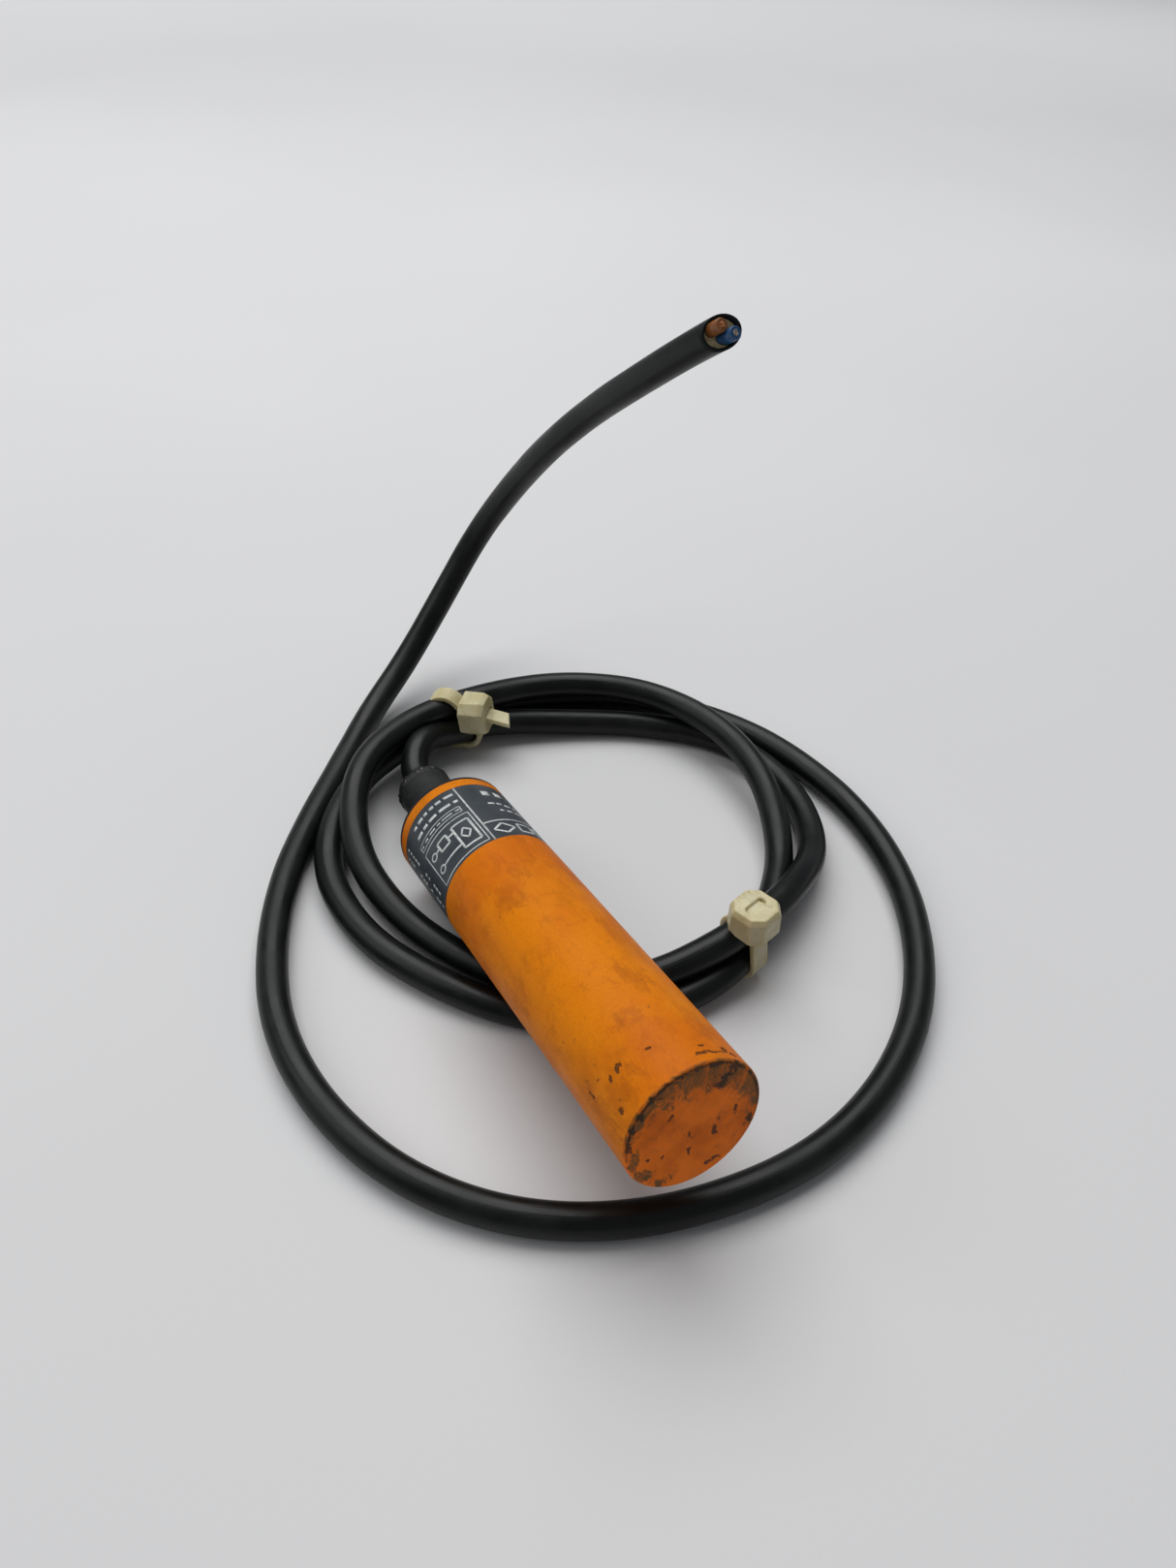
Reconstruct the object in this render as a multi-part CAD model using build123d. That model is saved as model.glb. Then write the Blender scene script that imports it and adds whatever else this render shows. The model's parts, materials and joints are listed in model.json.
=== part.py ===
# Cylindrical proximity sensor, smooth 20 mm plastic barrel, with its moulded-in two-core cable.
# Millimetres, +Z up. The origin is under the middle of the sensor, on the surface that it rests on.
# The sensing face looks along -Y and slightly up, because the barrel lies across the coiled cable.
from build123d import *
from math import atan2, cos, degrees, hypot, pi, radians, sin, tan
import os

# Barrel: every position along it is measured from the sensing face.
BARREL_R = 10.0
BARREL_LENGTH = 77.0
BARREL_TILT = 10.2
BORE_R = 8.8
FACE_WALL = 1.0
FACE_EDGE = 0.4
REAR_EDGE = 0.15
LABEL_START = 56.5
LABEL_END = 74.1
LABEL_DEPTH = 0.12
LABEL_THICK = 0.10
CAP_START = 76.2
CAP_FLOOR = 1.8
SPIGOT_START = 70.6
SPIGOT_BORE_R = 6.6
CAP_HOLE_R = 3.9
SEAL_AT = 73.0
SEAL_R = 8.2
SEAL_WIRE_R = 0.6
BOOT_END = 92.0
BOOT_R = 5.0
BOOT_NECK_R = 4.75
BOOT_RIM = 1.6
BOOT_COLLAR_R = 5.6
BOOT_COLLAR_START = 73.2

# Sensing head: pot core, bobbin and winding behind the face.
CORE_START = 1.05
CORE_END = 6.8
CORE_GROOVE_END = 5.3
CORE_HUB_R = 3.9
CORE_GROOVE_R = 7.4
CORE_HOLE_R = 1.4
BOBBIN_R = 7.3
BOBBIN_HUB_R = 4.7
BOBBIN_START = 1.3
BOBBIN_END = 5.2
BOBBIN_FLANGE = 0.5
WINDING_R = 7.0
LEAD_WIRE_R = 0.16
LEAD_HOLE_R = 0.4
LEAD_X = 5.9
LEAD_LIFT = 0.1

# Circuit board, standing along the barrel, and what holds and screens it.
BOARD_WIDTH = 15.2
BOARD_THICK = 1.0
BOARD_START = 8.4
BOARD_END = 61.0
CARRIER_END = 9.4
CARRIER_R = 8.7
SCREEN_R = 8.6
SCREEN_THICK = 0.15
SCREEN_START = 9.6
SCREEN_END = 30.0
POTTING_END = 69.0
PAD_X = 3.4
PAD_LIFT = 1.55

# Cable.
CABLE_R = 2.55
CORD_CORE_R = 0.95
COPPER_R = 0.42
FILLER_R = 2.1
TAIL_START = 67.0
CLAMP_START = 68.9
CLAMP_END = 72.6
CLAMP_R = 3.7
END_LENGTH = 3.0
END_CUT = -32.0
CORE_SPREAD = 1.08
CORE_ROLL = -54.0
BROWN_REACH = 1.3
BLUE_REACH = 2.2

# Route of the cable's middle: out of the boot, 2.2 turns clockwise, a big loop, then the rising free end.
EXIT_RUN = 3.0
LEAD_ROUTE = [(0.9, 52.9, 7.2), (3.7, 57.0, 8.2), (7.6, 59.7, 7.2), (11.9, 61.0, 5.2)]
COIL_CENTRE = (21.5, 26.0)
COIL_START = 90.0
COIL_STEP = 24.0
COIL_TURNS = [
    (36.2, 4.2), (34.2, 2.9), (37.0, 2.6), (42.8, 2.6), (44.6, 2.6), (44.0, 3.4), (40.2, 8.5),
    (38.6, 9.6), (37.2, 5.6), (35.8, 2.9), (34.6, 2.7), (36.2, 3.0), (39.9, 5.2), (42.2, 10.2),
    (39.8, 10.4), (38.8, 9.8), (39.8, 8.6), (41.1, 8.0), (39.6, 8.0), (37.8, 7.4), (37.4, 3.2),
    (37.4, 3.6), (40.7, 4.1), (41.4, 2.7), (41.4, 2.6), (40.8, 2.6), (43.4, 2.6), (45.6, 2.9),
    (43.8, 4.6), (41.4, 3.9), (41.5, 4.2), (42.6, 2.8), (45.2, 2.6), (47.6, 2.6),
]
LOOP_ROUTE = [
    (71.5, 26.5, 2.6), (73.0, 10.0, 2.6), (69.5, -7.0, 2.6), (62.0, -21.5, 2.6), (51.5, -33.5, 2.6),
    (38.0, -42.0, 2.6), (23.0, -46.5, 2.6), (7.0, -46.3, 2.6), (-8.5, -42.5, 2.6),
    (-22.3, -34.3, 2.6), (-32.5, -21.9, 2.6), (-38.2, -6.5, 2.6), (-39.3, 9.3, 2.6),
    (-35.5, 24.7, 2.6), (-28.7, 39.2, 2.6), (-19.6, 51.9, 2.6), (-9.3, 64.3, 2.6),
]
FREE_ROUTE = [
    (0.6, 76.0, 3.4), (12.0, 84.0, 8.2), (23.0, 89.5, 18.0), (31.5, 90.5, 30.0), (36.0, 83.0, 43.0),
    (38.0, 72.0, 55.5), (41.0, 61.0, 66.5), (42.5, 49.0, 76.0), (44.5, 38.0, 84.5), (45.8, 32.5, 88.3),
]
BEND_SHARE = 0.45
TURN_PULL = cos(radians(COIL_STEP / 2))
STATION_STEP = 12
BARREL_GAP = 0.9

# Cable ties: the angle round the coil where each sits, and the size of strap and head.
REAR_TIE_ANGLE = 101.0
SIDE_TIE_ANGLE = 290.0
STRAP_WIDTH = 3.7
STRAP_THICK = 1.1
HEAD_LENGTH = 7.2
HEAD_WIDTH = 6.0
HEAD_HEIGHT = 3.8
TAIL_LENGTH = 5.0
TAIL_THICK = 1.0

TILT_COS = cos(radians(BARREL_TILT))
TILT_SIN = sin(radians(BARREL_TILT))
FACE_Z = (BARREL_LENGTH - REAR_EDGE) * TILT_SIN + BARREL_R * TILT_COS
FACE_Y = -(BOOT_END * TILT_COS + BOOT_R * TILT_SIN - BARREL_R * TILT_SIN) / 2
AXIS = Vector(0, TILT_COS, -TILT_SIN)
FACE = Vector(0, FACE_Y, FACE_Z)
SENSOR = Plane(origin=FACE, x_dir=(-1, 0, 0), z_dir=AXIS).location
CABLE_EXIT = FACE + AXIS * BOOT_END


def disc(radius, start, end):
    """Cylinder on the barrel's axis between two distances from the face."""
    return Pos(0, 0, (start + end) / 2) * Cylinder(radius, end - start)


def ring(outer, inner, start, end):
    return disc(outer, start, end) - disc(inner, start - 1, end + 1)


def block(width, height, length, x, y, start):
    """Box on the board: y is its lower face, start its end nearest the sensing face."""
    return Pos(x, y + height / 2, start + length / 2) * Box(width, height, length)


def rod(radius, x, y, start, end):
    return Pos(x, y, (start + end) / 2) * Cylinder(radius, end - start)


def housing_sleeve():
    cup = disc(BARREL_R, 0, CAP_START) - disc(BORE_R, FACE_WALL, CAP_START + 1)
    cup -= ring(BARREL_R + 1, BARREL_R - LABEL_DEPTH, LABEL_START, LABEL_END)
    front = cup.edges().filter_by(GeomType.CIRCLE).sort_by(Axis.Z)[0]
    return fillet(front, FACE_EDGE)


def label_band():
    inner = BARREL_R - LABEL_DEPTH
    return ring(inner + LABEL_THICK, inner, LABEL_START, LABEL_END)


def rear_cap():
    flange = disc(BARREL_R, CAP_START, BARREL_LENGTH)
    flange = chamfer(flange.edges().filter_by(GeomType.CIRCLE).sort_by(Axis.Z)[-1], REAR_EDGE)
    cap = flange + disc(BORE_R, SPIGOT_START, CAP_START)
    cap -= disc(SPIGOT_BORE_R, SPIGOT_START - 1, BARREL_LENGTH - CAP_FLOOR)
    cap -= disc(CAP_HOLE_R, BARREL_LENGTH - CAP_FLOOR - 1, BARREL_LENGTH + 1)
    return cap - seal_groove()


def seal_groove():
    half = SEAL_WIRE_R + 0.1
    return ring(BORE_R + 1, SEAL_R - SEAL_WIRE_R, SEAL_AT - half, SEAL_AT + half)


def cap_seal():
    return Pos(0, 0, SEAL_AT) * Torus(SEAL_R, SEAL_WIRE_R)


def cable_boot():
    """Strain relief: a collar inside the cap, a neck through it and a slightly barrelled sleeve."""
    inside = BARREL_LENGTH - CAP_FLOOR
    rim = BOOT_END - BOOT_RIM
    with BuildSketch(Plane.XZ) as profile:
        with BuildLine():
            Polyline(
                (CABLE_R, BOOT_COLLAR_START), (BOOT_COLLAR_R, BOOT_COLLAR_START),
                (BOOT_COLLAR_R, inside), (CAP_HOLE_R, inside), (CAP_HOLE_R, BARREL_LENGTH),
                (BOOT_NECK_R, BARREL_LENGTH),
            )
            ThreePointArc(
                (BOOT_NECK_R, BARREL_LENGTH), (BOOT_R, (BARREL_LENGTH + rim) / 2), (BOOT_NECK_R, rim)
            )
            Polyline(
                (BOOT_NECK_R, rim), (BOOT_R, rim + 0.3), (BOOT_R, BOOT_END - 0.3),
                (BOOT_R - 0.3, BOOT_END), (CABLE_R, BOOT_END), (CABLE_R, BOOT_COLLAR_START),
            )
        make_face()
    return revolve(profile.sketch, Axis.Z)


def cable_clamp():
    return ring(CLAMP_R, CABLE_R, CLAMP_START, CLAMP_END)


def cable_tail():
    return disc(CABLE_R, TAIL_START, BOOT_END)


def conductor(side):
    """Insulated core from the cable's end, spreading to its pad on the board."""
    path = FilletPolyline(
        (side * 1.0, 0, TAIL_START), (side * 1.0, 0, 65.4),
        (side * PAD_X, PAD_LIFT, 62.2), (side * PAD_X, PAD_LIFT, 58.0),
        radius=1.5,
    )
    start = Plane(origin=path @ 0, z_dir=path % 0)
    return sweep(start * Circle(CORD_CORE_R), path)


def ferrite_core():
    core = disc(CARRIER_R, CORE_START, CORE_END)
    core -= ring(CORE_GROOVE_R, CORE_HUB_R, CORE_START - 1, CORE_GROOVE_END)
    core -= disc(CORE_HOLE_R, 0, CORE_END + 1)
    return core - lead_holes(CORE_GROOVE_END - 1, CORE_END + 1)


def lead_holes(start, end):
    return [rod(LEAD_HOLE_R, side * LEAD_X, lead_height(), start, end) for side in (-1, 1)]


def lead_height():
    return BOARD_THICK / 2 + LEAD_WIRE_R + LEAD_LIFT


def coil_bobbin():
    bobbin = ring(BOBBIN_R, CORE_HUB_R + 0.1, BOBBIN_START, BOBBIN_END)
    front = BOBBIN_START + BOBBIN_FLANGE
    return bobbin - ring(BOBBIN_R + 1, BOBBIN_HUB_R, front, BOBBIN_END - BOBBIN_FLANGE)


def coil_winding():
    wire = ring(WINDING_R, BOBBIN_HUB_R, BOBBIN_START + BOBBIN_FLANGE, BOBBIN_END - BOBBIN_FLANGE)
    outside = wire.edges().filter_by(GeomType.CIRCLE).sort_by(SortBy.RADIUS)[-2:]
    return fillet(outside, 0.5)


def coil_leads():
    return [rod(LEAD_WIRE_R, side * LEAD_X, lead_height(), BOBBIN_END, 12.5) for side in (-1, 1)]


def core_carrier():
    """Plate behind the core, slotted for the board, with two pairs of fingers that grip it."""
    plate = disc(CARRIER_R, CORE_END, CARRIER_END)
    for side in (-1, 1):
        for face in (-1, 1):
            y = BOARD_THICK / 2 if face > 0 else -BOARD_THICK / 2 - 1.4
            plate += block(2.6, 1.4, 4.0, side * 2.6, y, CARRIER_END)
    plate -= Pos(0, 0, BOARD_START + 5) * Box(BOARD_WIDTH, BOARD_THICK, 10)
    return plate - lead_holes(CORE_END - 1, CARRIER_END + 1)


def shield_sleeve():
    return ring(SCREEN_R, SCREEN_R - SCREEN_THICK, SCREEN_START, SCREEN_END)


def circuit_board():
    length = BOARD_END - BOARD_START
    board = Pos(0, 0, BOARD_START + length / 2) * Box(BOARD_WIDTH, BOARD_THICK, length)
    return chamfer(board.edges().filter_by(Axis.Y), 0.6)


TOP = BOARD_THICK / 2
BOTTOM = -BOARD_THICK / 2
CHIP = (4.9, 1.5, 3.9, 17.0)


def oscillator_chip():
    width, height, length, start = CHIP
    body = block(width, height, length, 0, TOP + 0.15, start)
    body = chamfer(body.edges().filter_by(Axis.Z), 0.25)
    return body - Pos(-1.7, TOP + 0.15 + height, start + 0.8) * Rot(90, 0, 0) * Cylinder(0.35, 0.3)


def chip_leads():
    """Eight gull-wing leads, four to a side."""
    width, height, length, start = CHIP
    leads = []
    for side in (-1, 1):
        for i in range(4):
            z = start + length / 2 + (i - 1.5) * 0.95 - 0.2
            foot = block(0.75, 0.15, 0.4, side * (width / 2 + 0.6), TOP, z)
            post = block(0.3, 0.75, 0.4, side * (width / 2 + 0.15), TOP, z)
            leads.append(foot + post)
    return leads


def trimmer():
    body = block(3.8, 1.6, 3.8, 4.4, TOP, 24.0)
    body += Pos(4.4, TOP + 1.6 + 0.3, 25.9) * Rot(90, 0, 0) * Cylinder(1.5, 0.6)
    return body - Pos(4.4, TOP + 2.2, 25.9) * Box(2.4, 0.6, 0.5)


def film_capacitor():
    body = block(7.2, 5.0, 3.4, 0, TOP, 31.5)
    return fillet(body.edges().filter_by(Axis.X), 0.5)


def electrolytic_capacitor():
    can = rod(2.5, 0, TOP + 2.5, 37.5, 48.5)
    can -= Pos(0, TOP + 2.5, 39.6) * (Cylinder(3.0, 0.8) - Cylinder(2.25, 1))
    return fillet(can.edges().filter_by(GeomType.CIRCLE).sort_by(Axis.Z)[-1], 0.4)


def bridge_rectifier():
    body = block(6.4, 2.4, 4.8, 0, BOTTOM - 2.5, 50.5)
    for side in (-1, 1):
        for z in (51.3, 53.9):
            body += block(0.8, 2.2, 0.5, side * 3.5, BOTTOM - 2.2, z)
    return body


def output_thyristor():
    body = rod(2.3, 0, BOTTOM - 2.4, 38.0, 42.8)
    body -= Pos(0, BOTTOM - 5.4, 40.4) * Box(6, 3, 6)
    for x in (-1.27, 0, 1.27):
        body += block(0.45, 0.4, 5.0, x, BOTTOM - 2.6, 42.8)
        body += block(0.45, 2.3, 0.4, x, BOTTOM - 2.3, 47.4)
    return body


def surge_suppressor():
    return Pos(0, BOTTOM - 1.7, 32.0) * Rot(90, 0, 0) * fillet(Cylinder(3.6, 3.2).edges(), 0.7)


def zener_diodes():
    diodes = []
    for z in (15.0, 18.0, 21.0):
        glass = Pos(0, BOTTOM - 0.85, z) * Rot(0, 90, 0) * Cylinder(0.75, 2.4)
        for side in (-1, 1):
            glass += Pos(side * 1.45, BOTTOM - 0.85, z) * Rot(0, 90, 0) * Cylinder(0.85, 0.5)
        diodes.append(glass)
    return diodes


def ceramic_capacitors():
    places = [(-4.6, 14.4), (4.6, 14.4), (-4.6, 23.6), (-5.2, 40.0), (5.2, 46.0)]
    return [block(1.25, 0.9, 2.0, x, TOP, z) for x, z in places]


def chip_resistors():
    places = [(-5.4, 18.4), (-5.4, 27.6), (5.6, 20.0), (-5.2, 44.5), (5.2, 40.5), (-1.6, 51.5), (1.6, 51.5)]
    return [block(1.25, 0.5, 2.0, x, TOP, z) for x, z in places]


def solder_joints():
    """A cone of solder round each conductor's end and each coil lead."""
    joints = []
    for side in (-1, 1):
        joints.append(Pos(side * PAD_X, TOP + 0.7, 57.0) * Rot(-90, 0, 0) * Cone(1.0, 0.35, 1.4))
        joints.append(Pos(side * LEAD_X, TOP + 0.4, 13.0) * Rot(-90, 0, 0) * Cone(0.65, 0.3, 0.8))
    return [joint - coil_leads() for joint in joints]


INSIDE = {
    "circuit_board": circuit_board, "cable_clamp": cable_clamp, "cable_tail": cable_tail,
    "brown_conductor": lambda: conductor(-1), "blue_conductor": lambda: conductor(1),
    "ferrite_core": ferrite_core, "coil_bobbin": coil_bobbin, "coil_winding": coil_winding,
    "coil_leads": coil_leads, "core_carrier": core_carrier, "shield_sleeve": shield_sleeve,
    "oscillator_chip": oscillator_chip, "chip_leads": chip_leads,
    "trimmer": trimmer, "film_capacitor": film_capacitor,
    "electrolytic_capacitor": electrolytic_capacitor, "bridge_rectifier": bridge_rectifier,
    "output_thyristor": output_thyristor, "surge_suppressor": surge_suppressor,
    "zener_diodes": zener_diodes, "ceramic_capacitors": ceramic_capacitors,
    "chip_resistors": chip_resistors, "solder_joints": solder_joints,
}
OUTSIDE = {
    "housing_sleeve": housing_sleeve, "label_band": label_band, "rear_cap": rear_cap,
    "cap_seal": cap_seal, "cable_boot": cable_boot,
}


def as_shape(made):
    """One shape from a solid or from a list of separate solids."""
    return Compound(made) if isinstance(made, list) else made


def potting_resin(pieces):
    """The resin fills the sleeve behind the carrier and keeps clear of every piece in it."""
    resin = disc(BORE_R, CARRIER_END, POTTING_END)
    for piece in pieces:
        resin -= piece
    return resin


def coil_point(index):
    radius, height = COIL_TURNS[index]
    angle = radians(COIL_START - COIL_STEP * index)
    return (COIL_CENTRE[0] + radius * cos(angle), COIL_CENTRE[1] + radius * sin(angle), height)


def mid_point(first, second):
    return tuple((a + b) / 2 for a, b in zip(first, second))


def tube(points, radius):
    """A tube along straight runs joined by arcs as large as the runs allow."""
    vectors = [Vector(*point) for point in points]
    radii = []
    for before, here, after in zip(vectors, vectors[1:], vectors[2:]):
        turn = radians((here - before).get_angle(after - here))
        shorter = min((here - before).length, (after - here).length)
        radii.append(BEND_SHARE * shorter / tan(turn / 2))
    path = FilletPolyline(*points, radius=radii)
    return sweep(Plane(origin=path @ 0, z_dir=path % 0) * Circle(radius), path)


def cable_lead():
    straight = tuple(CABLE_EXIT + AXIS * EXIT_RUN)
    return tube([tuple(CABLE_EXIT), straight] + LEAD_ROUTE, CABLE_R)


def free_end():
    """The tip of the cable and its direction there."""
    tip = Vector(*FREE_ROUTE[-1])
    return tip, (tip - Vector(*FREE_ROUTE[-2])).normalized()


def cable_free():
    tip, direction = free_end()
    last = tuple(tip - direction * END_LENGTH)
    turns = len(COIL_TURNS)
    start = mid_point(coil_point(turns - 2), coil_point(turns - 1))
    return tube([start, coil_point(turns - 1)] + LOOP_ROUTE + FREE_ROUTE[:-1] + [last], CABLE_R)


def coiled_route():
    """Angle, radius and height of the route from where the lead joins the coil to where the loop leaves."""
    route = []
    for x, y, z in LEAD_ROUTE[-2:]:
        dx = x - COIL_CENTRE[0]
        dy = y - COIL_CENTRE[1]
        route.append((degrees(atan2(dy, dx)), hypot(dx, dy), z))
    for index, (radius, height) in enumerate(COIL_TURNS):
        route.append((COIL_START - COIL_STEP * index, radius, height))
    return route


def strands_at(angle):
    """Radius and height of every turn that passes this angle."""
    found = []
    route = coiled_route()
    for (a0, r0, z0), (a1, r1, z1) in zip(route, route[1:]):
        for lap in range(-3, 1):
            share = (a0 - angle - 360 * lap) / (a0 - a1)
            if 0 <= share < 1:
                found.append(((r0 + (r1 - r0) * share) * TURN_PULL, z0 + (z1 - z0) * share))
    return found


def coil_bounds(angle):
    """Inner and outer radius, bottom and top of the coil at this angle."""
    strands = strands_at(angle)
    radii = [radius for radius, height in strands]
    heights = [height for radius, height in strands]
    return min(radii) - CABLE_R, max(radii) + CABLE_R, min(heights) - CABLE_R, max(heights) + CABLE_R


def coil_plane(angle, radius, height):
    """Plane across the coil, x outwards and y up."""
    outwards = (cos(radians(angle)), sin(radians(angle)), 0)
    centre = (COIL_CENTRE[0] + radius * outwards[0], COIL_CENTRE[1] + radius * outwards[1], height)
    return Plane(origin=centre, x_dir=outwards, z_dir=(outwards[1], -outwards[0], 0))


def coil_section(angle):
    inner, outer, bottom, top = coil_bounds(angle)
    plane = coil_plane(angle, (inner + outer) / 2, (bottom + top) / 2)
    return plane * RectangleRounded(outer - inner, top - bottom, CABLE_R * 0.8)


def cable_coil(tubes):
    """Outer shape of the tied turns, clear of the barrel and pocketed where the two tubes join it."""
    halves = []
    for start in (0, 180):
        angles = range(start, start + 181, STATION_STEP)
        halves.append(loft([coil_section(angle) for angle in angles], ruled=True))
    coil = halves[0] + halves[1]
    coil -= SENSOR * disc(BARREL_R + BARREL_GAP, -5, BARREL_LENGTH + 5)
    for cable in tubes:
        coil -= cable
    return coil


def tie_strap(angle):
    inner, outer, bottom, top = coil_bounds(angle)
    plane = coil_plane(angle, (inner + outer) / 2, (bottom + top) / 2)
    width = outer - inner
    height = top - bottom
    strap = RectangleRounded(width + 2 * STRAP_THICK, height + 2 * STRAP_THICK, CABLE_R + STRAP_THICK / 2)
    strap -= RectangleRounded(width - 0.2, height - 0.2, CABLE_R)
    return extrude(plane * strap, STRAP_WIDTH / 2, both=True)


def tie_head(angle, out, up, lean):
    """Ratchet head on the strap at (out, up) across the coil, leaning back by an angle."""
    plane = coil_plane(angle, out, up)
    head = Box(HEAD_WIDTH, HEAD_HEIGHT, HEAD_LENGTH)
    head = chamfer(head.edges().filter_by(Axis.Z), 0.7)
    head -= Pos(0, HEAD_HEIGHT / 2, 0) * Box(3.6, 1.2, 1.2)
    return plane.location * Rot(0, 0, lean) * head


def tie_rear(coil):
    inner, outer, bottom, top = coil_bounds(REAR_TIE_ANGLE)
    tie = tie_strap(REAR_TIE_ANGLE)
    tie += tie_head(REAR_TIE_ANGLE, inner - HEAD_HEIGHT / 2 + 0.2, top - 3.4, 70)
    tail = coil_plane(REAR_TIE_ANGLE, inner - 1.0, top - 1.4).location
    tie += tail * Pos(0, 0, HEAD_LENGTH / 2 + TAIL_LENGTH / 2) * Box(TAIL_THICK, 2.8, TAIL_LENGTH + 1)
    return tie - coil


def tie_side(coil):
    inner, outer, bottom, top = coil_bounds(SIDE_TIE_ANGLE)
    tie = tie_strap(SIDE_TIE_ANGLE)
    tie += tie_head(SIDE_TIE_ANGLE, (inner + outer) / 2, top + HEAD_HEIGHT / 2, 0)
    return tie - coil


def end_pieces():
    """Jacket, filler, two cores and their copper at the obliquely cut free end."""
    tip, direction = free_end()
    across = Vector(0, 0, 1).cross(direction).normalized()
    end = Plane(origin=tip - direction * END_LENGTH, x_dir=across, z_dir=direction).location
    cut = Pos(0, 0, END_LENGTH) * Rot(0, END_CUT, 0) * Pos(0, 0, 5) * Box(20, 20, 10)
    pieces = {"end_jacket": disc(CABLE_R, 0, END_LENGTH + 2) - disc(FILLER_R, -1, END_LENGTH + 3) - cut}
    filler = disc(FILLER_R, 0, END_LENGTH + 2) - Pos(0, 0, -0.3) * cut
    reach = {"brown": (-1, END_LENGTH + BROWN_REACH), "blue": (1, END_LENGTH + BLUE_REACH)}
    for colour, (side, length) in reach.items():
        x = side * CORE_SPREAD * cos(radians(CORE_ROLL))
        y = side * CORE_SPREAD * sin(radians(CORE_ROLL))
        filler -= rod(CORD_CORE_R, x, y, -1, END_LENGTH + 3)
        pieces[colour + "_core"] = rod(CORD_CORE_R, x, y, 0, length) - rod(COPPER_R, x, y, -1, length + 1)
        pieces[colour + "_strands"] = rod(COPPER_R, x, y, 0, length + 0.15)
    pieces["end_filler"] = filler
    return {name: end * piece for name, piece in pieces.items()}


def all_parts():
    parts = {name: as_shape(make()) for name, make in OUTSIDE.items()}
    inside = {name: make() for name, make in INSIDE.items()}
    solids = []
    for made in inside.values():
        solids += made if isinstance(made, list) else [made]
    parts["potting_resin"] = potting_resin(solids)
    parts.update({name: as_shape(made) for name, made in inside.items()})
    parts = {name: SENSOR * shape for name, shape in parts.items()}
    parts["cable_lead"] = cable_lead()
    parts["cable_free"] = cable_free()
    parts["cable_coil"] = cable_coil([parts["cable_lead"], parts["cable_free"]])
    parts["tie_rear"] = tie_rear(parts["cable_coil"])
    parts["tie_side"] = tie_side(parts["cable_coil"])
    parts.update(end_pieces())
    return parts


os.makedirs("parts", exist_ok=True)
for name, shape in all_parts().items():
    export_step(shape, f"parts/{name}.step")
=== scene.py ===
# Proximity sensor: orange 20 mm barrel on a tied coil of black two-core cable. Metres throughout.
import json
import random
from math import cos, pi, radians, sin

import bmesh
import bpy
from mathutils import Matrix, Vector


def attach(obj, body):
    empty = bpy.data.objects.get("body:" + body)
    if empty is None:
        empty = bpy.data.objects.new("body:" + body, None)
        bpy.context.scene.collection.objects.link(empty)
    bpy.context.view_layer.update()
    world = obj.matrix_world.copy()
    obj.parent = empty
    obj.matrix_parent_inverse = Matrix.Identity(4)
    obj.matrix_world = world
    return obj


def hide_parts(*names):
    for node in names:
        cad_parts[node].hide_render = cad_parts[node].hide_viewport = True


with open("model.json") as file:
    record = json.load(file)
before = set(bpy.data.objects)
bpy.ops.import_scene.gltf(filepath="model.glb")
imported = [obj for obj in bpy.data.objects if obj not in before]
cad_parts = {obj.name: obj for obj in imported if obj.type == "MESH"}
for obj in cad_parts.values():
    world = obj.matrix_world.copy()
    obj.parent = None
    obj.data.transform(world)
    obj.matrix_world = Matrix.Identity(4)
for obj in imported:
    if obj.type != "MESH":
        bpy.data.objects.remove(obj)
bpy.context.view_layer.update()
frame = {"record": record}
MOUNTS = {mount["name"]: mount for mount in frame["record"]["mounts"]}

# The barrel's own frame: distances along AXIS from the sensing face, angles from SIDE towards UP.
FACE = Vector(MOUNTS["sensing_face"]["pos_m"])
AXIS = -Vector(MOUNTS["sensing_face"]["axis"])
SIDE = Vector((1, 0, 0))
UP = SIDE.cross(AXIS)
BARREL_R = MOUNTS["barrel_clamp"]["dims"]["r_mm"] / 1000
BOOT_START = 0.0770
BOOT_END = 0.0920
BOOT_SIDES = 144
RIM_NOTCHES = 26

# Cable.
CABLE_D = 0.0051
CABLE_R = CABLE_D / 2
FILLER_R = 0.0021
CORE_R = 0.00104
CORE_SPREAD = 0.00106
CORE_ROLL = radians(-54)
END_TURN = radians(-32)
CABLE_SIDES = 28
# The jacket is a little uneven: share of its radius, and the rates of two waves along it, per metre.
CABLE_WAVE = 0.006
WAVE_RATES = (310, 127)
END_BLEND = 0.005
# The jacket's cut edge: how far in from its surface, and how far along the cable, in metres.
JACKET_LIP = [(0.00006, 0.0), (0.00036, -0.00002), (0.00045, -0.0001), (0.00045, -0.0022)]
WIRE_R = 0.000095
# Rings of wires round the middle one: how many, and how far out in wire radii.
WIRE_RINGS = ((6, 2.0), (12, 3.86))
BROWN_REACH = 0.0013
BLUE_REACH = 0.0022
CORE_DEPTH = -0.0025
CORE_DISH = 0.00012
CORE_SIDES = 32

# The label's ink: its lowest and highest radius in metres, then widths of its lines in millimetres.
INK_LOW = 0.009975
INK_TOP = 0.009998
FINE = 0.22
LINE = 0.30
BOLD = 0.42

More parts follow.
